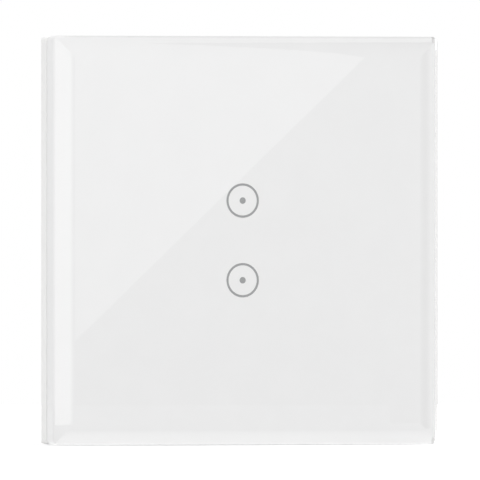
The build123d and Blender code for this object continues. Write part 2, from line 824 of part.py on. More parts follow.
def touch_controller():
    """The touch controller's moulded case, between the two springs."""
    rear_y = touch_board_front_y - chip_standoff
    return block(around(0, chip_length), (rear_y - chip_height, rear_y), around(0, chip_width))


def controller_legs():
    """The flat legs along both long sides of the touch controller."""
    legs = []
    y = (touch_board_front_y - chip_leg_height, touch_board_front_y)
    for i in range(chip_leg_count):
        x = around((i - (chip_leg_count - 1) / 2) * chip_leg_pitch, chip_leg_width)
        for side in (1, -1):
            z = mirrored(chip_width / 2, chip_width / 2 + chip_leg_length, side)
            legs.append(block(x, y, z))
    return Compound(legs)


def touch_board_passives():
    """Chip resistors and capacitors, in columns on both sides of the springs."""
    chips = []
    y = (touch_board_front_y - passive_height, touch_board_front_y)
    for side in (1, -1):
        for column in range(passive_columns):
            x = around(side * (passive_x + column * passive_column_pitch), passive_length)
            for row in range(passive_rows):
                z = around((row - (passive_rows - 1) / 2) * passive_row_pitch, passive_width)
                chips.append(block(x, y, z))
    return Compound(chips)


def header_spacer():
    """The black spacer that holds the header's pins behind the touch board."""
    outline = Pos(header_x, header_z) * Rectangle(header_pin_spacing, header_pins * header_pin_spacing)
    for z in header_places:
        outline -= Pos(header_x, z) * Rectangle(header_pin_side, header_pin_side)
    return plate(outline, (touch_board_rear_y, touch_board_rear_y + header_spacer_height))


def header_pin_row():
    """The square pins that join the two boards."""
    y = (touch_board_front_y - header_front_proud, solder_y)
    x = around(header_x, header_pin_side)
    return Compound([block(x, y, around(z, header_pin_side)) for z in header_places])


def housing_outline(inset=0):
    """The housing from the front: a box with corners on a circle and a recess beside each claw."""
    outline = Rectangle(housing_width - 2 * inset, housing_height - 2 * inset)
    outline &= Circle(housing_diameter / 2 - inset)
    for side in (1, -1):
        middle = side * (recess_x - inset + housing_width / 2)
        outline -= Pos(middle, 0) * Rectangle(housing_width, claw_recess_height + 2 * inset)
    return outline


def rear_housing():
    """The housing in the wall box: bosses, pillars, terminal cells, wire windows and driver holes."""
    shell = plate(housing_outline(), (0, housing_depth))
    shell = fillet(rear_edges(shell), housing_rear_radius)
    shell -= plate(housing_outline(housing_wall), (-overrun, housing_floor_y))

    web_x = (cover_screw_x, housing_width / 2 - housing_wall / 2)
    for x, z in four_ways(cover_screw_x, cover_screw_z):
        side = 1 if x > 0 else -1
        shell += rod(boss_radius, (0, housing_floor_y), x, z)
        shell += block(mirrored(*web_x, side), (0, housing_floor_y), around(z, boss_web))
    for x, z in pillar_places:
        shell += rod(pillar_radius, (power_board_rear_y, housing_floor_y), x, z)

    floor_z = housing_low_z + housing_wall
    partition_y = (housing_floor_y - partition_depth, housing_floor_y)
    for i in range(terminal_count + 1):
        x = around((i - terminal_count / 2) * terminal_pitch, partition_thickness)
        shell += block(x, partition_y, (floor_z, floor_z + partition_height))

    ledge_y = (claw_lug_y - claw_ledge_gap - claw_ledge_depth, claw_lug_y - claw_ledge_gap)
    for side in (1, -1):
        ledge_x = mirrored(recess_x, recess_x + claw_ledge_reach, side)
        shell += block(ledge_x, ledge_y, around(0, claw_width))

    for x, z in four_ways(cover_screw_x, cover_screw_z):
        shell -= rod(cover_screw_radius + self_tapping_clearance, (-overrun, boss_hole_depth), x, z)
    pilot_end_y = power_board_front_y + board_screw_length + pillar_hole_end
    for x, z in pillar_places:
        pilot_y = (power_board_rear_y - overrun, pilot_end_y)
        shell -= rod(board_screw_radius + self_tapping_clearance, pilot_y, x, z)

    rear_y = (housing_floor_y - overrun, housing_depth + overrun)
    window_y = (cage_room_front_y - wire_window_margin, busbar_front_y + wire_window_margin)
    window_z = (housing_low_z - overrun, floor_z + overrun)
    window_width = cage_width - 2 * cage_wall + 2 * wire_window_margin
    for x in terminal_places:
        shell -= rod(driver_hole_radius, rear_y, x, cage_middle_z)
        shell -= block(around(x, window_width), window_y, window_z)

    for i in range(vent_count):
        x = around((i - (vent_count - 1) / 2) * vent_pitch, vent_width)
        shell -= block(x, rear_y, around(vent_z, vent_length))
    label_y = (housing_depth - label_depth, housing_depth + overrun)
    return shell - block(around(0, label_width), label_y, around(label_z, label_height))


def power_board():
    """The power circuit board, with a hole for every screw, pin and lead."""
    inset = housing_wall + board_gap
    high_z = housing_height / 2 - inset
    height = high_z - power_board_low_z
    outline = Pos(0, high_z - height / 2) * Rectangle(board_width, height)
    wing_z = power_board_low_z + power_board_wing_low_rise + power_board_wing_height / 2
    outline += Pos(0, wing_z) * Rectangle(2 * (recess_x - inset), power_board_wing_height)
    for x, z in pillar_places:
        outline -= Pos(x, z) * Circle(board_screw_radius + screw_hole_clearance)

    header_hole = header_pin_side + 2 * lead_clearance
    for z in header_places:
        outline -= Pos(header_x, z) * Rectangle(header_hole, header_hole)
    busbar_middle_z = busbar_pin_low_z + busbar_pin_depth / 2
    for x in terminal_places:
        hole = Rectangle(busbar_pin_width + 2 * lead_clearance, busbar_pin_depth + 2 * lead_clearance)
        outline -= Pos(x, busbar_middle_z) * hole
    outline -= relay_pin_holes()
    for x, z in short_leads + varistor_leads + fuse_leads:
        outline -= Pos(x, z) * Circle(lead_radius + lead_clearance)
    return plate(outline, (power_board_front_y, power_board_rear_y))


def board_screws():
    """Four small screws that hold the power board on the housing's pillars."""
    screw = cross_head_screw(
        board_screw_radius, board_screw_length, board_screw_head_radius, board_screw_head_height
    )
    return Compound([Pos(x, power_board_front_y, z) * screw for x, z in pillar_places])


def busbars():
    """Four brass bars, each through a clamp cage, with a pin soldered to the power board."""
    bars = []
    for x in terminal_places:
        bar_z = (cage_low_z + busbar_end_gap, busbar_high_z)
        bar = block(around(x, busbar_width), (busbar_front_y, busbar_rear_y), bar_z)
        pin_z = (busbar_pin_low_z, busbar_high_z)
        bars.append(bar + block(around(x, busbar_pin_width), (busbar_rear_y, solder_y), pin_z))
    return Compound(bars)


def clamp_cage(x):
    """A cage round the busbar, drawn to the rear by its screw to clamp a wire against the bar."""
    y = (cage_room_front_y - cage_floor, cage_room_rear_y + cage_thread_wall)
    cage = block(around(x, cage_width), y, (cage_low_z, cage_high_z))
    room_z = (cage_low_z - overrun, cage_high_z + overrun)
    room_y = (cage_room_front_y, cage_room_rear_y)
    cage -= block(around(x, cage_width - 2 * cage_wall), room_y, room_z)
    hole_y = (cage_room_rear_y - overrun, y[1] + overrun)
    return cage - rod(terminal_screw_radius + thread_clearance, hole_y, x, cage_middle_z)


def terminal_screw(x):
    """A slotted screw behind the cage: its head turns behind the driver hole."""
    head = rod(terminal_screw_head_radius, (terminal_head_front_y, terminal_head_rear_y))
    slot_y = (terminal_head_rear_y - driver_slot_depth, terminal_head_rear_y + overrun)
    slot_x = around(0, 2 * (terminal_screw_head_radius + overrun))
    head -= block(slot_x, slot_y, around(0, driver_slot_width))
    shank = rod(terminal_screw_radius, (busbar_rear_y + terminal_screw_tip_gap, terminal_head_front_y))
    shank = chamfer(front_edges(shank), terminal_screw_radius * screw_tip_share)
    return Pos(x, 0, cage_middle_z) * (head + shank)


def claw(side):
    """A spreader claw: a lug round the claw screw and an arm along the housing with teeth outside."""
    lug_rear_y = claw_lug_y + claw_thickness
    arm_inner_x = claw_arm_x - claw_thickness
    tip_y = claw_lug_y + claw_arm_length
    points = [(claw_inner_x, claw_lug_y), (claw_arm_x, claw_lug_y)]
    for i in range(claw_tooth_count, 0, -1):
        points.append((claw_arm_x, tip_y - i * claw_tooth_length))
        points.append((claw_arm_x + claw_tooth_height, tip_y - i * claw_tooth_length))
    points += [(claw_arm_x, tip_y), (arm_inner_x, tip_y), (arm_inner_x, lug_rear_y)]
    points.append((claw_inner_x, lug_rear_y))
    body = extrude(make_face(Polyline(*points, close=True)), claw_width / 2, both=True)
    bend = body.edges().filter_by(Axis.Z).group_by(Axis.Y)[0].sort_by(Axis.X)[-1]
    body = fillet(bend, claw_bend_radius)
    slot = SlotOverall(claw_slot_length, claw_slot_width)
    slot = Pos(claw_screw_x + claw_slot_offset, 0) * slot
    body -= plate(slot, (claw_lug_y - overrun, lug_rear_y + overrun))
    return body if side > 0 else mirror(body, Plane.YZ)


def claw_screw(side):
    """The long screw through the strap that draws a claw forward and so outward."""
    screw = cross_head_screw(
        claw_screw_radius, claw_screw_length, claw_screw_head_radius, claw_screw_head_height
    )
    return Pos(side * claw_screw_x, strap_front_y, 0) * screw


def relay_pin_holes():
    """The holes for a relay's pins, seen from the front, for both relays."""
    holes = []
    width = relay_pin_width + 2 * lead_clearance
    for x in relay_places:
        strip = Rectangle(width, contact_strip_thickness + 2 * lead_clearance)
        holes.append(Pos(x, (strip_low_z + strip_high_z) / 2) * strip)
        foot = Rectangle(width, yoke_thickness + 2 * lead_clearance)
        holes.append(Pos(x, (yoke_low_z + yoke_foot_z) / 2) * foot)
    for x, z in coil_pin_places:
        holes.append(Pos(x, z) * Circle(coil_pin_radius + lead_clearance))
    return Sketch() + holes


def relay_case(x):
    """A relay's case, open towards its base."""
    z = (relay_low_z, relay_high_z)
    case = block(around(x, relay_width), (relay_front_y, relay_base_y), z)
    inner_x = around(x, relay_width - 2 * relay_case_wall)
    inner_y = (relay_front_y + relay_case_wall, relay_base_y + overrun)
    inner_z = (relay_low_z + relay_case_wall, relay_high_z - relay_case_wall)
    return case - block(inner_x, inner_y, inner_z)


def relay_base(x):
    """A relay's base, with holes for its pins."""
    outline = Pos(x, (relay_low_z + relay_high_z) / 2) * Rectangle(relay_width, relay_length)
    return plate(outline - relay_pin_holes(), (relay_base_y, power_board_front_y))


def relay_yoke(x):
    """A relay's iron yoke with its pin, and the core that stands on the yoke's foot."""
    arm_z = (yoke_low_z, armature_low_z - hinge_gap)
    foot_z = (yoke_low_z, yoke_foot_z)
    yoke = block(around(x, yoke_width), (yoke_front_y, yoke_rear_y), arm_z)
    yoke += block(around(x, yoke_width), (yoke_front_y, relay_base_y), foot_z)
    yoke += block(around(x, relay_pin_width), (relay_base_y, solder_y), foot_z)
    yoke += upright_rod(core_radius, x, coil_y, (yoke_foot_z, pole_low_z))
    return yoke + upright_rod(pole_radius, x, coil_y, (pole_low_z, pole_high_z))


def relay_bobbin(x):
    """The bobbin round the core: a thin tube between two square flanges."""
    side = bobbin_side
    hole = core_radius + bobbin_core_gap
    bobbin = upright_rod(hole + bobbin_tube_wall, x, coil_y, (yoke_foot_z, pole_low_z))
    low = (yoke_foot_z, yoke_foot_z + bobbin_flange_thickness)
    high = (pole_low_z - bobbin_flange_thickness, pole_low_z)
    for z in (low, high):
        bobbin += block(around(x, side), around(coil_y, side), z)
    reach = (yoke_foot_z - overrun, pole_low_z + overrun)
    return bobbin - upright_rod(hole, x, coil_y, reach)


def relay_coil(x):
    """The winding on the bobbin, as one smooth body."""
    margin = bobbin_flange_thickness + coil_end_gap
    z = (yoke_foot_z + margin, pole_low_z - margin)
    coil = upright_rod(coil_radius, x, coil_y, z)
    reach = (z[0] - overrun, z[1] + overrun)
    return coil - upright_rod(core_radius + coil_core_gap, x, coil_y, reach)


def relay_armature(x):
    """The iron plate that the pole pulls in, resting on the yoke's end."""
    z = (armature_low_z, blade_low_z)
    return block(around(x, armature_width), (yoke_front_y, armature_tail_y), z)


def relay_blade(x):
    """The spring blade on the armature, with the moving contact under its tail."""
    y = (yoke_front_y + yoke_thickness / 2, blade_tail_y)
    blade = block(around(x, blade_width), y, (blade_low_z, blade_high_z))
    return blade + upright_rod(contact_radius, x, contact_y, (blade_low_z - contact_height, blade_low_z))


def relay_contact(x):
    """The fixed contact on its strip, which goes through the base and the board."""
    z = (strip_low_z, strip_high_z)
    strip = block(around(x, contact_strip_width), (contact_y - contact_radius, relay_base_y), z)
    strip += block(around(x, relay_pin_width), (relay_base_y, solder_y), z)
    button_z = (strip_high_z, strip_high_z + contact_height)
    return strip + upright_rod(contact_radius, x, contact_y, button_z)


def relay_coil_pins():
    """The two round pins of each relay's winding."""
    y = (coil_y + bobbin_side / 2, solder_y)
    return Compound([rod(coil_pin_radius, y, x, z) for x, z in coil_pin_places])


def film_capacitor():
    """The box-shaped capacitor across the mains."""
    y = (power_board_front_y - film_capacitor_height, power_board_front_y)
    z = around(film_capacitor_z, film_capacitor_thickness)
    body = block(around(film_capacitor_x, film_capacitor_width), y, z)
    return fillet(front_edges(body) + body.edges().filter_by(Axis.Y), film_capacitor_radius)


def transformer_core():
    """The ferrite ring round the transformer's winding."""
    ring = Rectangle(transformer_side, transformer_side)
    inner = transformer_side - 2 * transformer_core_wall
    ring -= Rectangle(inner, inner)
    rear_y = power_board_front_y - transformer_core_gap
    ring = Pos(transformer_x, transformer_z) * ring
    return plate(ring, (rear_y - transformer_core_height, rear_y))


def transformer_winding():
    """The taped winding, which stands on the board inside the ferrite ring."""
    side = transformer_side - 2 * transformer_core_wall
    y = (power_board_front_y - transformer_height, power_board_front_y)
    body = block(around(transformer_x, side), y, around(transformer_z, side))
    return fillet(front_edges(body), transformer_edge_radius)


def smoothing_capacitor():
    """The round smoothing capacitor, with the rolled groove near its foot."""
    y = (power_board_front_y - smoothing_capacitor_height, power_board_front_y)
    body = rod(smoothing_capacitor_radius, y)
    body = fillet(front_edges(body), smoothing_capacitor_edge_radius)
    groove = Rot(90, 0, 0) * Torus(smoothing_capacitor_radius, smoothing_capacitor_groove_radius)
    body -= Pos(0, power_board_front_y - smoothing_capacitor_groove_height, 0) * groove
    return Pos(smoothing_capacitor_x, 0, smoothing_capacitor_z) * body


def varistor():
    """The round varistor, which stands on edge."""
    middle_y = power_board_front_y - varistor_board_gap - varistor_radius
    disc = Cylinder(varistor_radius, varistor_thickness)
    disc = fillet(disc.edges().filter_by(GeomType.CIRCLE), varistor_edge_radius)
    return Pos(varistor_x, middle_y, varistor_z) * Rot(0, 90, 0) * disc


def fuse_resistor():
    """The fusible resistor, which lies along Z beside the left relay."""
    body = upright_rod(fuse_radius, fuse_x, fuse_y, around(fuse_z, fuse_length))
    return fillet(body.edges().filter_by(GeomType.CIRCLE), fuse_edge_radius)


def component_leads():
    """The tinned wires that join the parts to the board, with those of the resistor bent down."""
    leads = [rod(lead_radius, (power_board_front_y, solder_y), x, z) for x, z in short_leads]
    near_side = varistor_lead_pitch / 2 - lead_radius
    drop = math.sqrt(varistor_radius**2 - near_side**2)
    start_y = power_board_front_y - varistor_board_gap - varistor_radius + drop
    for x, z in varistor_leads:
        leads.append(rod(lead_radius, (start_y, solder_y), x, z))
    for side in (1, -1):
        end_z = fuse_z + side * fuse_reach
        start_z = fuse_z + side * fuse_length / 2
        lead = upright_rod(lead_radius, fuse_x, fuse_y, sorted((start_z, end_z)))
        lead += Pos(fuse_x, fuse_y, end_z) * Sphere(lead_radius)
        leads.append(lead + rod(lead_radius, (fuse_y, solder_y), fuse_x, end_z))
    return Compound(leads)


def rear_chips():
    """The converter, rectifier and driver chips on the back of the power board."""
    chips = []
    for (width, height, length), (x, z) in zip(rear_chip_sizes, rear_chip_places):
        y = (power_board_rear_y, power_board_rear_y + height)
        chips.append(block(around(x, width), y, around(relay_low_z + z, length)))
    return Compound(chips)


pieces = {
    "glass_panel": glass_panel(),
    "white_backprint": white_backprint(),
    "touch_symbols": touch_symbols(),
    "adhesive_tape": adhesive_tape(),
    "panel_frame": panel_frame(),
    "retaining_springs": retaining_springs(),
    "mounting_strap": mounting_strap(),
    "front_cover": front_cover(),
    "cover_screws": cover_screws(),
    "touch_board": touch_board(),
    "touch_spring_upper": touch_spring(symbol_places[0]),
    "touch_spring_lower": touch_spring(symbol_places[1]),
    "light_guides": light_guides(),
    "indicator_leds": indicator_leds(),
    "touch_controller": touch_controller(),
    "controller_legs": controller_legs(),
    "touch_board_passives": touch_board_passives(),
    "header_spacer": header_spacer(),
    "header_pins": header_pin_row(),
    "rear_housing": rear_housing(),
    "power_board": power_board(),
    "board_screws": board_screws(),
    "busbars": busbars(),
    "relay_coil_pins": relay_coil_pins(),
    "film_capacitor": film_capacitor(),
    "transformer_core": transformer_core(),
    "transformer_winding": transformer_winding(),
    "smoothing_capacitor": smoothing_capacitor(),
    "varistor": varistor(),
    "fuse_resistor": fuse_resistor(),
    "component_leads": component_leads(),
    "rear_chips": rear_chips(),
}
for number, x in enumerate(terminal_places, 1):
    pieces[f"clamp_cage_{number}"] = clamp_cage(x)
    pieces[f"terminal_screw_{number}"] = terminal_screw(x)
for name, side in (("left", -1), ("right", 1)):
    pieces[f"claw_{name}"] = claw(side)
    pieces[f"claw_screw_{name}"] = claw_screw(side)
for name, x in zip(("left", "right"), relay_places):
    pieces[f"relay_case_{name}"] = relay_case(x)
    pieces[f"relay_base_{name}"] = relay_base(x)
    pieces[f"relay_yoke_{name}"] = relay_yoke(x)
    pieces[f"relay_bobbin_{name}"] = relay_bobbin(x)
    pieces[f"relay_coil_{name}"] = relay_coil(x)
    pieces[f"relay_armature_{name}"] = relay_armature(x)
    pieces[f"relay_blade_{name}"] = relay_blade(x)
    pieces[f"relay_contact_{name}"] = relay_contact(x)

os.makedirs("parts", exist_ok=True)
for name, shape in pieces.items():
    export_step(shape, f"parts/{name}.step")
    box = shape.bounding_box()
    low = ", ".join(f"{value:.2f}" for value in box.min)
    high = ", ".join(f"{value:.2f}" for value in box.max)
    print(f"{name}: {len(shape.solids())} solids, from {low} to {high}")
print(f"Least gap between a touch spring's turns: {touch_spring_least_gap():.2f} mm")
print(f"{len(pieces)} nodes")
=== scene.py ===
import bmesh
import bpy
import math
from mathutils import Matrix, Vector


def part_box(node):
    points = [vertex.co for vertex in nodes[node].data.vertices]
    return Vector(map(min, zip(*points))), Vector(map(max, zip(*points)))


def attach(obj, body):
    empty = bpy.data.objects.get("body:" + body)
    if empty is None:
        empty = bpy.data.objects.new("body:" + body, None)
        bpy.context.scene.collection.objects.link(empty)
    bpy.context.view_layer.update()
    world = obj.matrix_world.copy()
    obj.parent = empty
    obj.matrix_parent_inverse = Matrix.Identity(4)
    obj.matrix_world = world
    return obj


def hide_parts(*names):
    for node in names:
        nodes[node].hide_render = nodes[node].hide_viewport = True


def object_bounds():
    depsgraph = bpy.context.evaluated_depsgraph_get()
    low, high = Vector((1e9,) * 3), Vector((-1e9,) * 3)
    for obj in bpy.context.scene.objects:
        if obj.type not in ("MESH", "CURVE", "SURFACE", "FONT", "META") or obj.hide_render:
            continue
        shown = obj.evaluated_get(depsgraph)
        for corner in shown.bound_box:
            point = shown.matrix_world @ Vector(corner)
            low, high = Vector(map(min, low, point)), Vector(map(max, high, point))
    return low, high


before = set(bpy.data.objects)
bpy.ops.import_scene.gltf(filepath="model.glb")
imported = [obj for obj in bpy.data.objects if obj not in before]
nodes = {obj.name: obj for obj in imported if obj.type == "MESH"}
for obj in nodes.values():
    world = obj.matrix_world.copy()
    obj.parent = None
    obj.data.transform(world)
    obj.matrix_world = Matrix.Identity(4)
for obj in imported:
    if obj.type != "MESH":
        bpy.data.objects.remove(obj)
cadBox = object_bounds()
mm = 0.001
perMetre = 1 / mm  # a pattern of N millimetres has a scale of perMetre / N
print("frame loaded,", len(nodes), "nodes")


def linearColour(hexText):
    # sRGB hex to the linear values that Blender's sockets take
    levels = [int(hexText[i:i + 2], 16) / 255 for i in (1, 3, 5)]
    return [v / 12.92 if v <= 0.04045 else ((v + 0.055) / 1.055) ** 2.4 for v in levels] + [1.0]


def addNode(tree, kind, settings=None, inputs=None):
    made = tree.nodes.new(kind)
    for name, value in (settings or {}).items():
        setattr(made, name, value)
    for name, value in (inputs or {}).items():
        if isinstance(value, bpy.types.NodeSocket):
            tree.links.new(value, made.inputs[name])
        else:
            made.inputs[name].default_value = value
    return made


def startMaterial(name, inputs):
    material = bpy.data.materials.new(name)
    material.use_nodes = True
    tree = material.node_tree
    shader = tree.nodes["Principled BSDF"]
    for socket, value in inputs.items():
        shader.inputs[socket].default_value = value
    place = addNode(tree, "ShaderNodeTexCoord").outputs["Object"]
    return material, tree, shader, place


# Toughened low-iron float glass: hard clear gloss on the faces, a slightly duller polished edge, and a darker
# body colour at the edges that is partly the longer path through the glass and partly painted shade of the
# side faces
panelGlass = {
    "ior": 1.52,
    "body": "#FFFFFF",
    "passing": "#F9F9F9",
    "faceRoughness": 0.004,
    "edgeRoughness": 0.09,
    "edgeStartMm": 40.7,
    "edgeEndMm": 41.0,
    "edgeBody": "#F4F4F4",
    "wheelMarkMm": 1.6,  # marks of the polishing wheel along the edges
    "wheelMarkSpan": (0.3, 0.7),
    "wheelMarkDepths": (0.9, 1.1),
    "bounces": 2.5,  # after which light caught in the glass goes straight on
}


def toughenedGlass():
    material, tree, shader, place = startMaterial(
        "toughenedFloatGlass",
        {
            "Base Color": linearColour(panelGlass["body"]),
            "IOR": panelGlass["ior"],
            "Transmission Weight": 1.0,
        },
    )
    axes = addNode(tree, "ShaderNodeSeparateXYZ", inputs={"Vector": place})
    across = addNode(tree, "ShaderNodeMath", {"operation": "ABSOLUTE"}, {0: axes.outputs["X"]})
    upward = addNode(tree, "ShaderNodeMath", {"operation": "ABSOLUTE"}, {0: axes.outputs["Z"]})
    outward = addNode(
        tree, "ShaderNodeMath", {"operation": "MAXIMUM"}, {0: across.outputs[0], 1: upward.outputs[0]}
    )
    edge = addNode(
        tree,
        "ShaderNodeMapRange",
        inputs={
            "Value": outward.outputs[0],
            "From Min": panelGlass["edgeStartMm"] * mm,
            "From Max": panelGlass["edgeEndMm"] * mm,
            "To Min": panelGlass["faceRoughness"],
            "To Max": panelGlass["edgeRoughness"],
        },
    )
    marks = addNode(
        tree,
        "ShaderNodeTexNoise",
        inputs={"Vector": place, "Scale": perMetre / panelGlass["wheelMarkMm"], "Detail": 3.0},
    )
    shallow, deep = panelGlass["wheelMarkDepths"]
    depth = addNode(
        tree,
        "ShaderNodeMapRange",
        inputs={
            "Value": marks.outputs["Fac"],
            "From Min": panelGlass["wheelMarkSpan"][0],
            "From Max": panelGlass["wheelMarkSpan"][1],
            "To Min": shallow,
            "To Max": deep,
        },
    )
    rough = addNode(
        tree,
        "ShaderNodeMath",
        {"operation": "MULTIPLY"},
        {0: edge.outputs["Result"], 1: depth.outputs["Result"]},
    )
    tree.links.new(rough.outputs[0], shader.inputs["Roughness"])
    # painted shade: the edges' body colour is darker, partly for the longer path through the glass, partly as
    # the side faces' shade
    ground = addNode(
        tree,
        "ShaderNodeMapRange",
        inputs={
            "Value": outward.outputs[0],
            "From Min": panelGlass["edgeStartMm"] * mm,
            "From Max": panelGlass["edgeEndMm"] * mm,
        },
    )
    body = addNode(
        tree,
        "ShaderNodeMix",
        {"data_type": "RGBA"},
        {
            0: ground.outputs["Result"],
            6: linearColour(panelGlass["body"]),
            7: linearColour(panelGlass["edgeBody"]),
        },
    )
    tree.links.new(body.outputs[2], shader.inputs["Base Color"])
    # lamps reach the print behind the glass without caustics
    rays = addNode(tree, "ShaderNodeLightPath")
    lit = addNode(
        tree,
        "ShaderNodeMath",
        {"operation": "MAXIMUM"},
        {0: rays.outputs["Is Shadow Ray"], 1: rays.outputs["Is Diffuse Ray"]},
    )
    # light caught in the corners leaves after a few bounces, so they don't go black
    caught = addNode(
        tree,
        "ShaderNodeMath",
        {"operation": "GREATER_THAN"},
        {0: rays.outputs["Ray Depth"], 1: panelGlass["bounces"]},
    )
    straight = addNode(
        tree, "ShaderNodeMath", {"operation": "MAXIMUM"}, {0: lit.outputs[0], 1: caught.outputs[0]}
    )
    passing = addNode(
        tree, "ShaderNodeBsdfTransparent", inputs={"Color": linearColour(panelGlass["passing"])}
    )
    both = addNode(
        tree,
        "ShaderNodeMixShader",
        inputs={0: straight.outputs[0], 1: shader.outputs[0], 2: passing.outputs[0]},
    )
    tree.links.new(both.outputs[0], tree.nodes["Material Output"].inputs["Surface"])
    return material


# Screen-printed ceramic enamel: an even white with the faint mottle of the screen
backEnamel = {"white": "#F3F3F3", "thin": "#F0F0F0", "mottleMm": 7.0, "screenMm": 0.5, "roughness": 0.45}
# The marks' ink: a satin grey, drawn with the same screen
markInk = {"white": "#969798", "thin": "#9B9C9D", "mottleMm": 1.2, "screenMm": 0.4, "roughness": 0.4}
printSkin = {"ior": 1.5, "bumpStrength": 0.05, "bumpMm": 0.02}


def printedEnamel(name, finish):
    material, tree, shader, place = startMaterial(
        name, {"Roughness": finish["roughness"], "IOR": printSkin["ior"]}
    )
    mottle = addNode(
        tree,
        "ShaderNodeTexNoise",
        inputs={"Vector": place, "Scale": perMetre / finish["mottleMm"], "Detail": 4.0},
    )
    tone = addNode(
        tree,
        "ShaderNodeMix",
        {"data_type": "RGBA"},
        {0: mottle.outputs["Fac"], 6: linearColour(finish["white"]), 7: linearColour(finish["thin"])},
    )
    tree.links.new(tone.outputs[2], shader.inputs["Base Color"])
    screen = addNode(
        tree,
        "ShaderNodeTexNoise",
        inputs={"Vector": place, "Scale": perMetre / finish["screenMm"], "Detail": 1.0},
    )
    bump = addNode(
        tree,
        "ShaderNodeBump",
        inputs={
            "Strength": printSkin["bumpStrength"],
            "Distance": printSkin["bumpMm"] * mm,
            "Height": screen.outputs["Fac"],
        },
    )
    tree.links.new(bump.outputs["Normal"], shader.inputs["Normal"])
    return material


# Injection-moulded plastic: faint flow in the colour, spark grain from the mould on the surface
mouldedSkin = {
    "ior": 1.54,
    "flowMm": 14.0,
    "flowSwirl": 0.6,
    "roughnessSpread": 0.05,
    "grainStrength": 0.35,
    "grainDepthMm": 0.02,
}
noiseSpan = (0.25, 0.75)  # between which nearly all of a noise lies


def mouldedPlastic(name, ownFinish):
    finish = mouldedSkin | ownFinish
    material, tree, shader, place = startMaterial(name, {"IOR": finish["ior"]})
    flow = addNode(
        tree,
        "ShaderNodeTexNoise",
        inputs={
            "Vector": place,
            "Scale": perMetre / finish["flowMm"],
            "Detail": 3.0,
            "Distortion": finish["flowSwirl"],
        },
    )
    tone = addNode(
        tree,
        "ShaderNodeMix",
        {"data_type": "RGBA"},
        {0: flow.outputs["Fac"], 6: linearColour(finish["colour"]), 7: linearColour(finish["flowColour"])},
    )
    tree.links.new(tone.outputs[2], shader.inputs["Base Color"])
    grain = addNode(
        tree,
        "ShaderNodeTexNoise",
        inputs={"Vector": place, "Scale": perMetre / finish["grainMm"], "Detail": 2.0, "Roughness": 0.6},
    )
    rough = addNode(
        tree,
        "ShaderNodeMapRange",
        inputs={
            "Value": grain.outputs["Fac"],
            "From Min": noiseSpan[0],
            "From Max": noiseSpan[1],
            "To Min": finish["roughness"] - finish["roughnessSpread"],
            "To Max": finish["roughness"] + finish["roughnessSpread"],
        },
    )
    tree.links.new(rough.outputs["Result"], shader.inputs["Roughness"])
    bump = addNode(
        tree,
        "ShaderNodeBump",
        inputs={
            "Strength": finish["grainStrength"],
            "Distance": finish["grainDepthMm"] * mm,
            "Height": grain.outputs["Fac"],
        },
    )
    tree.links.new(bump.outputs["Normal"], shader.inputs["Normal"])
    return material


# Plated steel or brass: bright metal, clouded by the bath, with the draw lines of the stock
platedSkin = {"draw": (1, 1, 1), "smoother": 0.06, "rougher": 0.08, "lineStrength": 0.2, "lineDepthMm": 0.01}


def platedMetal(name, ownFinish):
    finish = platedSkin | ownFinish
    material, tree, shader, place = startMaterial(name, {"Metallic": 1.0})
    cloud = addNode(
        tree,
        "ShaderNodeTexNoise",
        inputs={"Vector": place, "Scale": perMetre / finish["cloudMm"], "Detail": 4.0},
    )
    tone = addNode(
        tree,
        "ShaderNodeMix",
        {"data_type": "RGBA"},
        {0: cloud.outputs["Fac"], 6: linearColour(finish["colour"]), 7: linearColour(finish["cloudColour"])},
    )
    tree.links.new(tone.outputs[2], shader.inputs["Base Color"])
    stretch = addNode(tree, "ShaderNodeMapping", inputs={"Vector": place, "Scale": finish["draw"]})
    lines = addNode(
        tree,
        "ShaderNodeTexNoise",
        inputs={"Vector": stretch.outputs["Vector"], "Scale": perMetre / finish["lineMm"], "Detail": 3.0},
    )
    rough = addNode(
        tree,
        "ShaderNodeMapRange",
        inputs={
            "Value": lines.outputs["Fac"],
            "From Min": noiseSpan[0],
            "From Max": noiseSpan[1],
            "To Min": finish["roughness"] - finish["smoother"],
            "To Max": finish["roughness"] + finish["rougher"],
        },
    )
    tree.links.new(rough.outputs["Result"], shader.inputs["Roughness"])
    bump = addNode(
        tree,
        "ShaderNodeBump",
        inputs={
            "Strength": finish["lineStrength"],
            "Distance": finish["lineDepthMm"] * mm,
            "Height": lines.outputs["Fac"],
        },
    )
    tree.links.new(bump.outputs["Normal"], shader.inputs["Normal"])
    return material


# Hot-dip galvanised sheet: zinc crystals a few millimetres across, each with its own tone
strapZinc = {
    "light": "#C9CDD0",
    "dark": "#A3A9AE",
    "spangleMm": 3.2,
    "scratchMm": 0.5,
    "scratchDepthMm": 0.015,
    "scratchStrength": 0.25,
    "rolled": (0.12, 1.0, 1.0),  # scratches run along X, as the strip was rolled
    "roughness": 0.36,
    "smoother": 0.08,
    "rougher": 0.12,
}


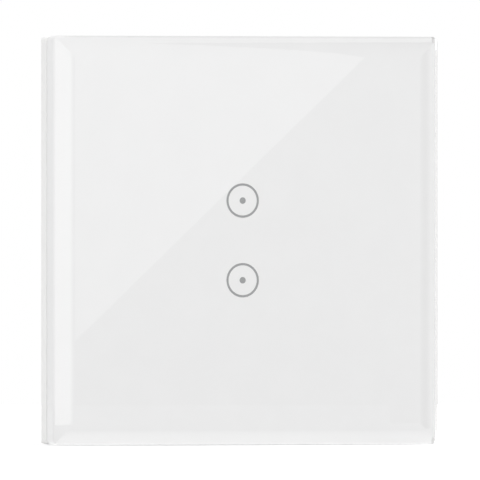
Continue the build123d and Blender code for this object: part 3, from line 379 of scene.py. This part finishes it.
def galvanisedSheet():
    material, tree, shader, place = startMaterial("galvanisedSheetSteel", {"Metallic": 1.0})
    spangle = addNode(
        tree,
        "ShaderNodeTexVoronoi",
        {"feature": "F1"},
        {"Vector": place, "Scale": perMetre / strapZinc["spangleMm"], "Randomness": 1.0},
    )
    crystal = addNode(tree, "ShaderNodeSeparateColor", inputs={"Color": spangle.outputs["Color"]})
    tone = addNode(
        tree,
        "ShaderNodeMix",
        {"data_type": "RGBA"},
        {0: crystal.outputs["Red"], 6: linearColour(strapZinc["light"]), 7: linearColour(strapZinc["dark"])},
    )
    tree.links.new(tone.outputs[2], shader.inputs["Base Color"])
    rough = addNode(
        tree,
        "ShaderNodeMapRange",
        inputs={
            "Value": crystal.outputs["Green"],
            "To Min": strapZinc["roughness"] - strapZinc["smoother"],
            "To Max": strapZinc["roughness"] + strapZinc["rougher"],
        },
    )
    tree.links.new(rough.outputs["Result"], shader.inputs["Roughness"])
    stretch = addNode(tree, "ShaderNodeMapping", inputs={"Vector": place, "Scale": strapZinc["rolled"]})
    scratch = addNode(
        tree,
        "ShaderNodeTexNoise",
        inputs={
            "Vector": stretch.outputs["Vector"],
            "Scale": perMetre / strapZinc["scratchMm"],
            "Detail": 4.0,
        },
    )
    bump = addNode(
        tree,
        "ShaderNodeBump",
        inputs={
            "Strength": strapZinc["scratchStrength"],
            "Distance": strapZinc["scratchDepthMm"] * mm,
            "Height": scratch.outputs["Fac"],
        },
    )
    tree.links.new(bump.outputs["Normal"], shader.inputs["Normal"])
    return material


# Glass-fibre board under green solder mask: copper runs show through as lighter green lines
boardMask = {
    "mask": "#1B5E3C",
    "overCopper": "#2E8455",
    "runMm": 0.45,
    "gridMm": 2.54,
    "weaveMm": 0.6,
    "copperMm": 0.035,
    "copperStrength": 0.4,
    "runLength": 2.6,  # of the runs, and the next line their pitch, in steps of the grid
    "runPitch": 0.75,
    "ior": 1.52,
    "roughness": 0.28,
    "smoother": 0.08,
    "rougher": 0.1,
}


def maskedBoard():
    material, tree, shader, place = startMaterial("solderMaskedBoard", {"IOR": boardMask["ior"]})
    flat = addNode(
        tree, "ShaderNodeMapping", inputs={"Vector": place, "Rotation": (math.pi / 2, 0.0, 0.0)}
    )
    runs = addNode(
        tree,
        "ShaderNodeTexBrick",
        {"offset": 0.37, "offset_frequency": 3, "squash": 0.6, "squash_frequency": 2},
        {
            "Vector": flat.outputs["Vector"],
            "Scale": perMetre / boardMask["gridMm"],
            "Mortar Size": boardMask["runMm"] / boardMask["gridMm"] / 2,
            "Mortar Smooth": 0.1,
            "Brick Width": boardMask["runLength"],
            "Row Height": boardMask["runPitch"],
        },
    )
    tone = addNode(
        tree,
        "ShaderNodeMix",
        {"data_type": "RGBA"},
        {
            0: runs.outputs["Fac"],
            6: linearColour(boardMask["mask"]),
            7: linearColour(boardMask["overCopper"]),
        },
    )
    tree.links.new(tone.outputs[2], shader.inputs["Base Color"])
    weave = addNode(
        tree,
        "ShaderNodeTexNoise",
        inputs={"Vector": place, "Scale": perMetre / boardMask["weaveMm"], "Detail": 2.0},
    )
    rough = addNode(
        tree,
        "ShaderNodeMapRange",
        inputs={
            "Value": weave.outputs["Fac"],
            "To Min": boardMask["roughness"] - boardMask["smoother"],
            "To Max": boardMask["roughness"] + boardMask["rougher"],
        },
    )
    tree.links.new(rough.outputs["Result"], shader.inputs["Roughness"])
    raised = addNode(
        tree,
        "ShaderNodeBump",
        inputs={
            "Strength": boardMask["copperStrength"],
            "Distance": boardMask["copperMm"] * mm,
            "Height": runs.outputs["Fac"],
        },
    )
    tree.links.new(raised.outputs["Normal"], shader.inputs["Normal"])
    return material


# Closed-cell foam tape: matt white with fine burst cells, darker in their hollows as painted shade
foamCells = {
    "hollow": "#DCDCD8",
    "skin": "#ECECE9",
    "cellMm": 0.35,
    "depthMm": 0.06,
    "strength": 0.5,
    "roughness": 0.9,
    "ior": 1.45,
}


def foamTape():
    material, tree, shader, place = startMaterial(
        "closedCellFoamTape", {"Roughness": foamCells["roughness"], "IOR": foamCells["ior"]}
    )
    cells = addNode(
        tree,
        "ShaderNodeTexVoronoi",
        {"feature": "SMOOTH_F1"},
        {"Vector": place, "Scale": perMetre / foamCells["cellMm"]},
    )
    # painted shade: the cells' hollows are darker than the skin around them
    tone = addNode(
        tree,
        "ShaderNodeMix",
        {"data_type": "RGBA"},
        {
            0: cells.outputs["Distance"],
            6: linearColour(foamCells["hollow"]),
            7: linearColour(foamCells["skin"]),
        },
    )
    tree.links.new(tone.outputs[2], shader.inputs["Base Color"])
    bump = addNode(
        tree,
        "ShaderNodeBump",
        inputs={
            "Strength": foamCells["strength"],
            "Distance": foamCells["depthMm"] * mm,
            "Height": cells.outputs["Distance"],
        },
    )
    tree.links.new(bump.outputs["Normal"], shader.inputs["Normal"])
    return material


# Moulded clear plastic: glassy, with a little haze that lights up evenly
clearSkin = {"transmission": 0.9, "hazeMm": 0.8, "clearest": 0.08, "haziest": 0.3}


def clearMoulding(name, finish):
    material, tree, shader, place = startMaterial(
        name,
        {
            "Base Color": linearColour(finish["colour"]),
            "IOR": finish["ior"],
            "Transmission Weight": clearSkin["transmission"],
        },
    )
    haze = addNode(
        tree,
        "ShaderNodeTexNoise",
        inputs={"Vector": place, "Scale": perMetre / clearSkin["hazeMm"], "Detail": 2.0},
    )
    rough = addNode(
        tree,
        "ShaderNodeMapRange",
        inputs={
            "Value": haze.outputs["Fac"],
            "To Min": clearSkin["clearest"],
            "To Max": clearSkin["haziest"],
        },
    )
    tree.links.new(rough.outputs["Result"], shader.inputs["Roughness"])
    return material


# A winding: round turns side by side, drawn as bands across the coil's axis, with painted shade in the
# grooves between the turns
windingSkin = {
    "waver": 0.3,
    "turnStrength": 0.6,
    "bandLength": 0.314,  # of one band of Blender's wave texture, in its own units
}


def woundLayer(name, finish):
    material, tree, shader, place = startMaterial(
        name, {"Metallic": finish["metallic"], "Roughness": finish["roughness"]}
    )
    turns = addNode(
        tree,
        "ShaderNodeTexWave",
        {"wave_type": "BANDS", "bands_direction": finish["axis"], "wave_profile": "SIN"},
        {
            "Vector": place,
            "Scale": perMetre / finish["wireMm"] * windingSkin["bandLength"] / 2,
            "Distortion": windingSkin["waver"],
            "Detail": 1.0,
        },
    )
    # painted shade: the colour between the turns is darker, as shade in the grooves
    tone = addNode(
        tree,
        "ShaderNodeMix",
        {"data_type": "RGBA"},
        {0: turns.outputs["Fac"], 6: linearColour(finish["between"]), 7: linearColour(finish["colour"])},
    )
    tree.links.new(tone.outputs[2], shader.inputs["Base Color"])
    bump = addNode(
        tree,
        "ShaderNodeBump",
        inputs={
            "Strength": windingSkin["turnStrength"],
            "Distance": finish["wireMm"] / 2 * mm,
            "Height": turns.outputs["Fac"],
        },
    )
    tree.links.new(bump.outputs["Normal"], shader.inputs["Normal"])
    return material


# What each material slot of the CAD nodes is made of
finishes = {
    "clear_glass": toughenedGlass(),
    "white_enamel": printedEnamel("ceramicBackEnamel", backEnamel),
    "grey_ink": printedEnamel("greyMarkInk", markInk),
    "foam_tape": foamTape(),
    # white ABS for the frame: a warm white with a fine satin grain
    "white_abs": mouldedPlastic(
        "satinWhiteABS",
        {"colour": "#F3F3F2", "flowColour": "#EFEFEE", "roughness": 0.42, "grainMm": 0.5,
         "grainStrength": 0.25},
    ),
    # hardened strip: cold-rolled lines along its length
    "spring_steel": platedMetal(
        "rolledSpringSteel",
        {"colour": "#A9AEB3", "cloudColour": "#979CA2", "cloudMm": 4.0, "lineMm": 0.25, "draw": (1, 1, 0.08),
         "roughness": 0.26},
    ),
    "galvanised_steel": galvanisedSheet(),
    # polycarbonate cover: light grey, evenly matt
    "cover_plastic": mouldedPlastic(
        "mattGreyPolycarbonate",
        {"colour": "#E3E4E3", "flowColour": "#DCDDDC", "roughness": 0.5, "grainMm": 0.35, "ior": 1.58},
    ),
    # bright zinc on screws: a cold white metal with cloudy patches
    "zinc_steel": platedMetal(
        "brightZincScrewSteel",
        {"colour": "#CDD0CF", "cloudColour": "#B9BDC4", "cloudMm": 1.6, "lineMm": 0.3, "roughness": 0.27},
    ),
    "circuit_board": maskedBoard(),
    # nickel-plated spring wire: drawn, so its lines are very fine
    "plated_wire": platedMetal(
        "nickelPlatedSpringWire",
        {"colour": "#D4D1C9", "cloudColour": "#C2BFB8", "cloudMm": 1.5, "lineMm": 0.2, "roughness": 0.2},
    ),
    # moulded acrylic guides: water clear, with bright edges
    "clear_plastic": clearMoulding("clearAcrylicGuide", {"colour": "#F6F9FA", "ior": 1.49}),
    # silicone over the lamps' phosphor: a cloudy pale yellow
    "lamp_plastic": clearMoulding("diodeSilicone", {"colour": "#F3E9B4", "ior": 1.46}),
    # filled epoxy of chip packages: near-black, finely matt
    "black_epoxy": mouldedPlastic(
        "mouldedChipEpoxy",
        {"colour": "#232427", "flowColour": "#2B2C2F", "roughness": 0.55, "grainMm": 0.25, "flowMm": 3.0},
    ),
    # tinned leads: soft bright metal with a wavy skin of solder
    "tinned_metal": platedMetal(
        "tinnedCopperLead",
        {"colour": "#CFCFCC", "cloudColour": "#BBBBB7", "cloudMm": 0.9, "lineMm": 0.5, "roughness": 0.3},
    ),
    # fired ceramic bodies of the small parts: a dull tan
    "chip_ceramic": mouldedPlastic(
        "firedChipCeramic",
        {"colour": "#A88C6B", "flowColour": "#97795A", "roughness": 0.6, "grainMm": 0.3, "flowMm": 1.5},
    ),
    # moulded PBT of the small dark parts: black with a satin skin
    "black_plastic": mouldedPlastic(
        "blackPBT",
        {"colour": "#1E1F21", "flowColour": "#27282A", "roughness": 0.42, "grainMm": 0.3, "flowMm": 5.0},
    ),
    # gold flash on brass pins: a warm bright yellow
    "gilt_brass": platedMetal(
        "goldFlashedBrass",
        {"colour": "#E5C06A", "cloudColour": "#D9B05A", "cloudMm": 0.9, "lineMm": 0.25, "draw": (1, 0.15, 1),
         "roughness": 0.22},
    ),
    # glass-filled polyamide housing: dark grey, with the streaky skin of short fibres
    "housing_plastic": mouldedPlastic(
        "glassFilledPolyamide",
        {"colour": "#4A4D50", "flowColour": "#54575A", "roughness": 0.52, "grainMm": 0.4,
         "grainStrength": 0.5, "flowMm": 9.0},
    ),
    # bare brass strip: a greenish yellow, a little dulled
    "brass": platedMetal(
        "stampedBrassStrip",
        {"colour": "#C9A34E", "cloudColour": "#B48E42", "cloudMm": 2.5, "lineMm": 0.3, "draw": (1, 1, 0.15),
         "roughness": 0.32},
    ),
    # polyester relay case: a plain blue with a soft gloss
    "relay_plastic": mouldedPlastic(
        "bluePolyesterCase",
        {"colour": "#2A5E9E", "flowColour": "#2F67A9", "roughness": 0.34, "grainMm": 0.35, "flowMm": 8.0},
    ),
    # soft iron with a nickel flash: grey, slightly warm
    "magnet_iron": platedMetal(
        "nickelledSoftIron",
        {"colour": "#ABA8A2", "cloudColour": "#97948F", "cloudMm": 2.2, "lineMm": 0.3, "roughness": 0.34},
    ),
    # phenolic of the coil bobbins: a plain red brown, half matt
    "bobbin_plastic": mouldedPlastic(
        "redBrownPhenolicBobbin",
        {"colour": "#6A3A2B", "flowColour": "#754333", "roughness": 0.45, "grainMm": 0.3, "flowMm": 3.0},
    ),
    # enamelled copper wire, 0.1 mm and drawn as 0.25 mm so that the turns show; the darker colour between
    # them is painted shade
    "copper_wire": woundLayer(
        "enamelledCopperTurns",
        {"colour": "#C0703F", "between": "#7C3F22", "wireMm": 0.25, "axis": "Z", "metallic": 0.9,
         "roughness": 0.3},
    ),
    # boxed film capacitor: a hard yellow polyester box
    "capacitor_yellow": mouldedPlastic(
        "yellowCapacitorBox",
        {"colour": "#DDAE2A", "flowColour": "#D3A424", "roughness": 0.36, "grainMm": 0.35, "flowMm": 5.0},
    ),
    # sintered ferrite: dark grey and finely granular
    "ferrite": mouldedPlastic(
        "sinteredFerrite",
        {"colour": "#3A3A3C", "flowColour": "#444446", "roughness": 0.6, "grainMm": 0.25,
         "grainStrength": 0.6, "flowMm": 2.0},
    ),
    # polyester film tape round the winding: yellow, with the turns pressing through and painted shade in the
    # dips between them
    "winding_tape": woundLayer(
        "yellowFilmTapeWrap",
        {"colour": "#E2C445", "between": "#CDAE35", "wireMm": 1.1, "axis": "Y", "metallic": 0.0,
         "roughness": 0.3},
    ),
    # shrunk PVC sleeve of the electrolytic: a dark blue-black gloss
    "capacitor_sleeve": mouldedPlastic(
        "shrunkDarkSleeve",
        {"colour": "#1C2433", "flowColour": "#232C3D", "roughness": 0.25, "grainMm": 0.8, "flowMm": 4.0},
    ),
    # dipped epoxy: a thick blue skin with a soft orange peel
    "varistor_coat": mouldedPlastic(
        "dippedBlueEpoxy",
        {"colour": "#2C55A0", "flowColour": "#33609F", "roughness": 0.3, "grainMm": 1.1, "grainStrength": 0.6,
         "grainDepthMm": 0.06, "flowMm": 3.0},
    ),
    # flameproof coat of the fuse resistor: a dull grey-green
    "resistor_coat": mouldedPlastic(
        "flameproofResistorCoat",
        {"colour": "#7E8E7A", "flowColour": "#88977F", "roughness": 0.62, "grainMm": 0.4, "flowMm": 1.6},
    ),
    # bright zinc on the bent cages: a cool grey, with lines across the bends on their sides
    "steel_clamp": platedMetal(
        "zincPlatedCage",
        {"colour": "#C4C8C8", "cloudColour": "#B0B4B8", "cloudMm": 2.0, "lineMm": 0.35, "draw": (1, 0.2, 1),
         "roughness": 0.3},
    ),
    # passivated zinc on the claws: yellowish, with a dull iridescent cloud
    "claw_steel": platedMetal(
        "yellowPassivatedClaw",
        {"colour": "#C9B877", "cloudColour": "#B5A58F", "cloudMm": 3.0, "lineMm": 0.4, "draw": (1, 0.15, 1),
         "roughness": 0.33},
    ),
}

for node in nodes.values():
    for holder in node.material_slots:
        holder.material = finishes[holder.material.name.split(".")[0]]
print("materials set on", len(nodes), "nodes")


def finishPiece(mesh, name, material):
    bmesh.ops.recalc_face_normals(mesh, faces=mesh.faces)
    data = bpy.data.meshes.new(name)
    mesh.to_mesh(data)
    mesh.free()
    data.materials.append(material)
    piece = bpy.data.objects.new(name, data)
    bpy.context.scene.collection.objects.link(piece)
    return piece


# Fired enamel wets the glass, so the print and the marks start a hair inside it, with no air between
printLayer = {"inGlassMm": 0.03, "cornerMm": 0.8, "cornerSteps": 8}


def enamelPrint():
    low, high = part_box("white_backprint")
    low = low - Vector((0.0, printLayer["inGlassMm"] * mm, 0.0))
    mesh = bmesh.new()
    bmesh.ops.create_cube(mesh, size=1.0)
    bmesh.ops.scale(mesh, vec=high - low, verts=mesh.verts)
    bmesh.ops.translate(mesh, vec=(high + low) / 2, verts=mesh.verts)
    corners = [e for e in mesh.edges if e.verts[0].co.y != e.verts[1].co.y]  # the four that run through it
    bmesh.ops.bevel(
        mesh,
        geom=corners,
        offset=printLayer["cornerMm"] * mm,
        offset_type="OFFSET",
        affect="EDGES",
        segments=printLayer["cornerSteps"],
        profile=0.5,
        material=-1,
    )
    piece = finishPiece(mesh, "enamelPrint", finishes["white_enamel"])
    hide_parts("white_backprint")
    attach(piece, "panel")


# Each mark is a thin ring with a dot in its middle
markShape = {
    "ringMm": 6.9,  # outside
    "strokeMm": 0.45,
    "dotMm": 1.3,
    "pitchMm": 16.0,
    "inGlassMm": 0.04,
    "depthMm": 0.02,
    "ringSteps": 96,
    "dotSteps": 32,
}


def printedMarks():
    low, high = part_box("touch_symbols")
    front = low.y - markShape["inGlassMm"] * mm
    mesh = bmesh.new()
    for side in (1, -1):
        middle = Vector((0.0, front, side * markShape["pitchMm"] / 2 * mm))
        outer = markShape["ringMm"] / 2 * mm
        start = mesh.verts.new(middle + Vector((outer, 0.0, 0.0)))
        end = mesh.verts.new(middle + Vector((outer - markShape["strokeMm"] * mm, 0.0, 0.0)))
        line = mesh.edges.new((start, end))
        bmesh.ops.spin(
            mesh,
            geom=[start, end, line],
            cent=middle,
            axis=(0.0, 1.0, 0.0),
            angle=2 * math.pi,
            steps=markShape["ringSteps"],
            use_merge=True,
            use_duplicate=False,
        )
        bmesh.ops.create_circle(
            mesh,
            cap_ends=True,
            segments=markShape["dotSteps"],
            radius=markShape["dotMm"] / 2 * mm,
            matrix=Matrix.Translation(middle) @ Matrix.Rotation(math.pi / 2, 4, "X"),
        )
    bmesh.ops.remove_doubles(mesh, verts=mesh.verts, dist=1e-7)
    made = bmesh.ops.extrude_face_region(mesh, geom=mesh.faces[:])
    moved = [v for v in made["geom"] if isinstance(v, bmesh.types.BMVert)]
    bmesh.ops.translate(mesh, vec=(0.0, markShape["depthMm"] * mm, 0.0), verts=moved)
    piece = finishPiece(mesh, "printedMarks", finishes["grey_ink"])
    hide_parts("touch_symbols")
    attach(piece, "panel")


enamelPrint()
printedMarks()
print("print layers made")


# The picture was taken square to the height and from about 20 degrees to the left
view = {
    "azimuth": -19.5,
    "distance": 4.29,
    "lens": 1599.0,
    "sensor": 36.0,
    "farClip": 50.0,
    "aimAcrossMm": 1.8,  # of the aim right of the origin, in the picture
    "aimUpMm": 0.08,
}


def placeCamera():
    turn = math.radians(view["azimuth"])
    across = Vector((math.cos(turn), math.sin(turn), 0.0))
    back = Vector((math.sin(turn), -math.cos(turn), 0.0))
    aim = across * view["aimAcrossMm"] * mm + Vector((0.0, 0.0, view["aimUpMm"] * mm))
    camera = bpy.data.cameras.new("studioCamera")
    camera.lens = view["lens"]
    camera.sensor_width = view["sensor"]
    camera.clip_end = view["farClip"]
    holder = bpy.data.objects.new("studioCamera", camera)
    holder.location = aim + back * view["distance"]
    holder.rotation_euler = (math.pi / 2, 0.0, turn)
    bpy.context.scene.collection.objects.link(holder)
    bpy.context.scene.camera = holder


def turnTowards(start, end):
    # the turn that points a thing's own Z from start to end
    return (Vector(end) - Vector(start)).to_track_quat("Z", "Y").to_euler()


def directSight(tree):
    # 1 for what the camera, a mirror or the glass shows, 0 for what lights the object
    rays = addNode(tree, "ShaderNodeLightPath")
    seen = addNode(
        tree,
        "ShaderNodeMath",
        {"operation": "MAXIMUM"},
        {0: rays.outputs["Is Camera Ray"], 1: rays.outputs["Is Glossy Ray"]},
    )
    seen = addNode(
        tree,
        "ShaderNodeMath",
        {"operation": "MAXIMUM"},
        {0: seen.outputs[0], 1: rays.outputs["Is Transmission Ray"]},
    )
    return seen.outputs[0]


def glowSheet(name, mesh, material):
    # a lit sheet of the studio that only a gloss shows
    data = bpy.data.meshes.new(name)
    mesh.to_mesh(data)
    mesh.free()
    data.materials.append(material)
    sheet = bpy.data.objects.new(name, data)
    sheet.visible_camera = False
    sheet.visible_diffuse = False
    sheet.visible_shadow = False
    sheet.visible_transmission = False
    bpy.context.scene.collection.objects.link(sheet)
    return sheet


# Soft boxes; az is to the right of the wall's normal and el above the floor, in degrees
softBoxes = {
    "keyBox": {"az": -24.0, "el": 14.0, "away": 2.0, "wide": 1.3, "tall": 1.7, "radiance": 0.95},
    "topBox": {"az": 22.0, "el": 74.0, "away": 2.0, "wide": 1.2, "tall": 0.9, "radiance": 1.9},
    "sideBox": {"az": -82.0, "el": 10.0, "away": 2.0, "wide": 1.2, "tall": 1.2, "radiance": 0.85},
    "rearBox": {"az": 160.0, "el": 35.0, "away": 2.2, "wide": 1.2, "tall": 1.2, "radiance": 1.6},
}


def placeSoftBoxes():
    for name, box in softBoxes.items():
        az, el = math.radians(box["az"]), math.radians(box["el"])
        towards = Vector((math.sin(az) * math.cos(el), -math.cos(az) * math.cos(el), math.sin(el)))
        place = towards * box["away"]
        lamp = bpy.data.lights.new(name, "AREA")
        lamp.shape = "RECTANGLE"
        lamp.size = box["wide"]
        lamp.size_y = box["tall"]
        lamp.energy = box["radiance"] * math.pi * box["wide"] * box["tall"]  # watts for that radiance
        holder = bpy.data.objects.new(name, lamp)
        holder.location = place
        holder.rotation_euler = turnTowards((0, 0, 0), place)
        holder.visible_camera = False
        bpy.context.scene.collection.objects.link(holder)


# A bright sheet beside the camera, which the glass mirrors as the diagonal gloss
glossSheet = {
    "away": 0.6,
    "side": 0.3,
    "edgeAt": (10.9, 29.4),  # a point of the sheet's lower right edge, right of and above the middle, in mm
    "edgeTurn": 44.4,  # of that edge above the level, in degrees
    "radiance": 1.85,
    "dimRadiance": 1.7,
    "fadeFromMm": 5.0,
    "fadeToMm": -60.0,
}


def placeGlossSheet():
    turn = math.radians(-view["azimuth"])
    ahead = Vector((math.sin(turn), -math.cos(turn), 0.0))
    right = Vector((math.cos(turn), math.sin(turn), 0.0))
    up = Vector((0.0, 0.0, 1.0))
    tilt = math.radians(glossSheet["edgeTurn"])
    along = right * math.cos(tilt) + up * math.sin(tilt)
    above = up * math.cos(tilt) - right * math.sin(tilt)
    half = glossSheet["side"] / 2
    onEdge = right * glossSheet["edgeAt"][0] * mm + up * glossSheet["edgeAt"][1] * mm
    middle = ahead * glossSheet["away"] + onEdge + above * half
    mesh = bmesh.new()
    bmesh.ops.create_grid(mesh, x_segments=1, y_segments=1, size=half)
    material = bpy.data.materials.new("litPaperSheet")  # lit from behind, dimmer towards its lower end
    material.use_nodes = True
    tree = material.node_tree
    tree.nodes.remove(tree.nodes["Principled BSDF"])
    place = addNode(tree, "ShaderNodeTexCoord").outputs["Object"]
    axes = addNode(tree, "ShaderNodeSeparateXYZ", inputs={"Vector": place})
    level = addNode(
        tree,
        "ShaderNodeMapRange",
        {"interpolation_type": "SMOOTHSTEP"},
        {
            "Value": axes.outputs["X"],
            "From Min": glossSheet["fadeToMm"] * mm,
            "From Max": glossSheet["fadeFromMm"] * mm,
            "To Min": glossSheet["dimRadiance"],
            "To Max": glossSheet["radiance"],
        },
    )
    glow = addNode(tree, "ShaderNodeEmission", inputs={"Strength": level.outputs["Result"]})
    tree.links.new(glow.outputs[0], tree.nodes["Material Output"].inputs["Surface"])
    turned = Matrix((along, above, -ahead)).transposed()
    glowSheet("glossSheet", mesh, material).matrix_world = Matrix.Translation(middle) @ turned.to_4x4()


# Cards that only the gloss sees: bright ones left, above and on the floor, a dark one on the right
cards = {
    "leftCard": {"at": (-0.175, -0.461, 0.05), "facing": (-0.041, 0, 0), "wide": 0.6, "tall": 0.9,
                 "radiance": 3.0, "sideRadiance": 1.0, "sideFadeShare": 0.25},
    "rightCard": {"at": (0.26, -0.30, 0.05), "facing": (0, 0, 0), "wide": 0.26, "tall": 0.6,
                  "radiance": 0.0, "sideRadiance": 1.0, "sideFadeShare": 0.45},
    "topCard": {"at": (0.15, -0.35, 0.38), "facing": (0, 0, 0), "wide": 0.8, "tall": 0.65,
                "radiance": 1.8, "sideRadiance": 1.8, "sideFadeShare": 0.1},
    "floorCard": {"at": (0.0, -0.0135, -0.0411), "facing": (0.0, -0.0135, 1), "wide": 0.3, "tall": 0.011,
                  "radiance": 2.9, "sideRadiance": 2.9, "sideFadeShare": 0.1, "topRadiance": 1.0},
}


def cardLight(name, card):
    # even in the middle, fading to its sides, and from its lower to its upper end where that differs
    material = bpy.data.materials.new(name + "Paper")
    material.use_nodes = True
    tree = material.node_tree
    tree.nodes.remove(tree.nodes["Principled BSDF"])
    place = addNode(tree, "ShaderNodeTexCoord").outputs["Object"]
    axes = addNode(tree, "ShaderNodeSeparateXYZ", inputs={"Vector": place})
    outward = addNode(tree, "ShaderNodeMath", {"operation": "ABSOLUTE"}, {0: axes.outputs["X"]})
    half = card["wide"] / 2
    side = addNode(
        tree,
        "ShaderNodeMapRange",
        {"interpolation_type": "SMOOTHSTEP"},
        {"Value": outward.outputs[0], "From Min": half * (1 - card["sideFadeShare"] * 2), "From Max": half},
    )
    upper = addNode(
        tree,
        "ShaderNodeMapRange",
        inputs={
            "Value": axes.outputs["Y"],
            "From Min": -card["tall"] / 2,
            "From Max": card["tall"] / 2,
            "To Min": card["radiance"],
            "To Max": card.get("topRadiance", card["radiance"]),
        },
    )
    level = addNode(
        tree,
        "ShaderNodeMix",
        {"data_type": "FLOAT"},
        {0: side.outputs["Result"], 2: upper.outputs["Result"], 3: card["sideRadiance"]},
    )
    glow = addNode(tree, "ShaderNodeEmission", inputs={"Strength": level.outputs[0]})
    tree.links.new(glow.outputs[0], tree.nodes["Material Output"].inputs["Surface"])
    return material


def placeCards():
    for name, card in cards.items():
        mesh = bmesh.new()
        bmesh.ops.create_grid(mesh, x_segments=1, y_segments=1, size=0.5)
        bmesh.ops.scale(mesh, vec=(card["wide"], card["tall"], 1.0), verts=mesh.verts)
        sheet = glowSheet(name, mesh, cardLight(name, card))
        sheet.location = card["at"]
        sheet.rotation_euler = turnTowards(card["at"], card["facing"])


# Pale studio: white to the camera and in reflections, plain level for the light
studio = {"ambient": 0.7, "floorColour": "#F2F2F2", "floorLift": 0.35, "floorHalf": 1.0, "floorDropMm": 0.2}


def placeStudio():
    world = bpy.data.worlds.new("paleStudio")
    world.use_nodes = True
    tree = world.node_tree
    sky = tree.nodes["Background"]
    level = addNode(
        tree,
        "ShaderNodeMapRange",
        inputs={"Value": directSight(tree), "To Min": studio["ambient"], "To Max": 1.0},
    )
    sky.inputs["Color"].default_value = (1.0, 1.0, 1.0, 1.0)
    tree.links.new(level.outputs["Result"], sky.inputs["Strength"])
    bpy.context.scene.world = world

    mesh = bmesh.new()
    bmesh.ops.create_grid(mesh, x_segments=1, y_segments=1, size=studio["floorHalf"])
    bmesh.ops.translate(mesh, vec=(0.0, 0.0, cadBox[0].z - studio["floorDropMm"] * mm), verts=mesh.verts)
    data = bpy.data.meshes.new("studioFloor")
    mesh.to_mesh(data)
    mesh.free()
    material, tree, shader, place = startMaterial(
        "paleFloorPaper",
        {"Base Color": linearColour(studio["floorColour"]), "Roughness": 0.95, "Specular IOR Level": 0.0},
    )
    lift = addNode(
        tree, "ShaderNodeMath", {"operation": "MULTIPLY"}, {0: directSight(tree), 1: studio["floorLift"]}
    )
    glow = addNode(tree, "ShaderNodeEmission", inputs={"Strength": lift.outputs[0]})
    both = addNode(tree, "ShaderNodeAddShader", inputs={0: shader.outputs[0], 1: glow.outputs[0]})
    tree.links.new(both.outputs[0], tree.nodes["Material Output"].inputs["Surface"])
    data.materials.append(material)
    floor = bpy.data.objects.new("studioFloor", data)
    bpy.context.scene.collection.objects.link(floor)


placeCamera()
placeSoftBoxes()
placeGlossSheet()
placeCards()
placeStudio()
bpy.context.scene.view_settings.view_transform = "Standard"
print("camera, lamps and floor placed")
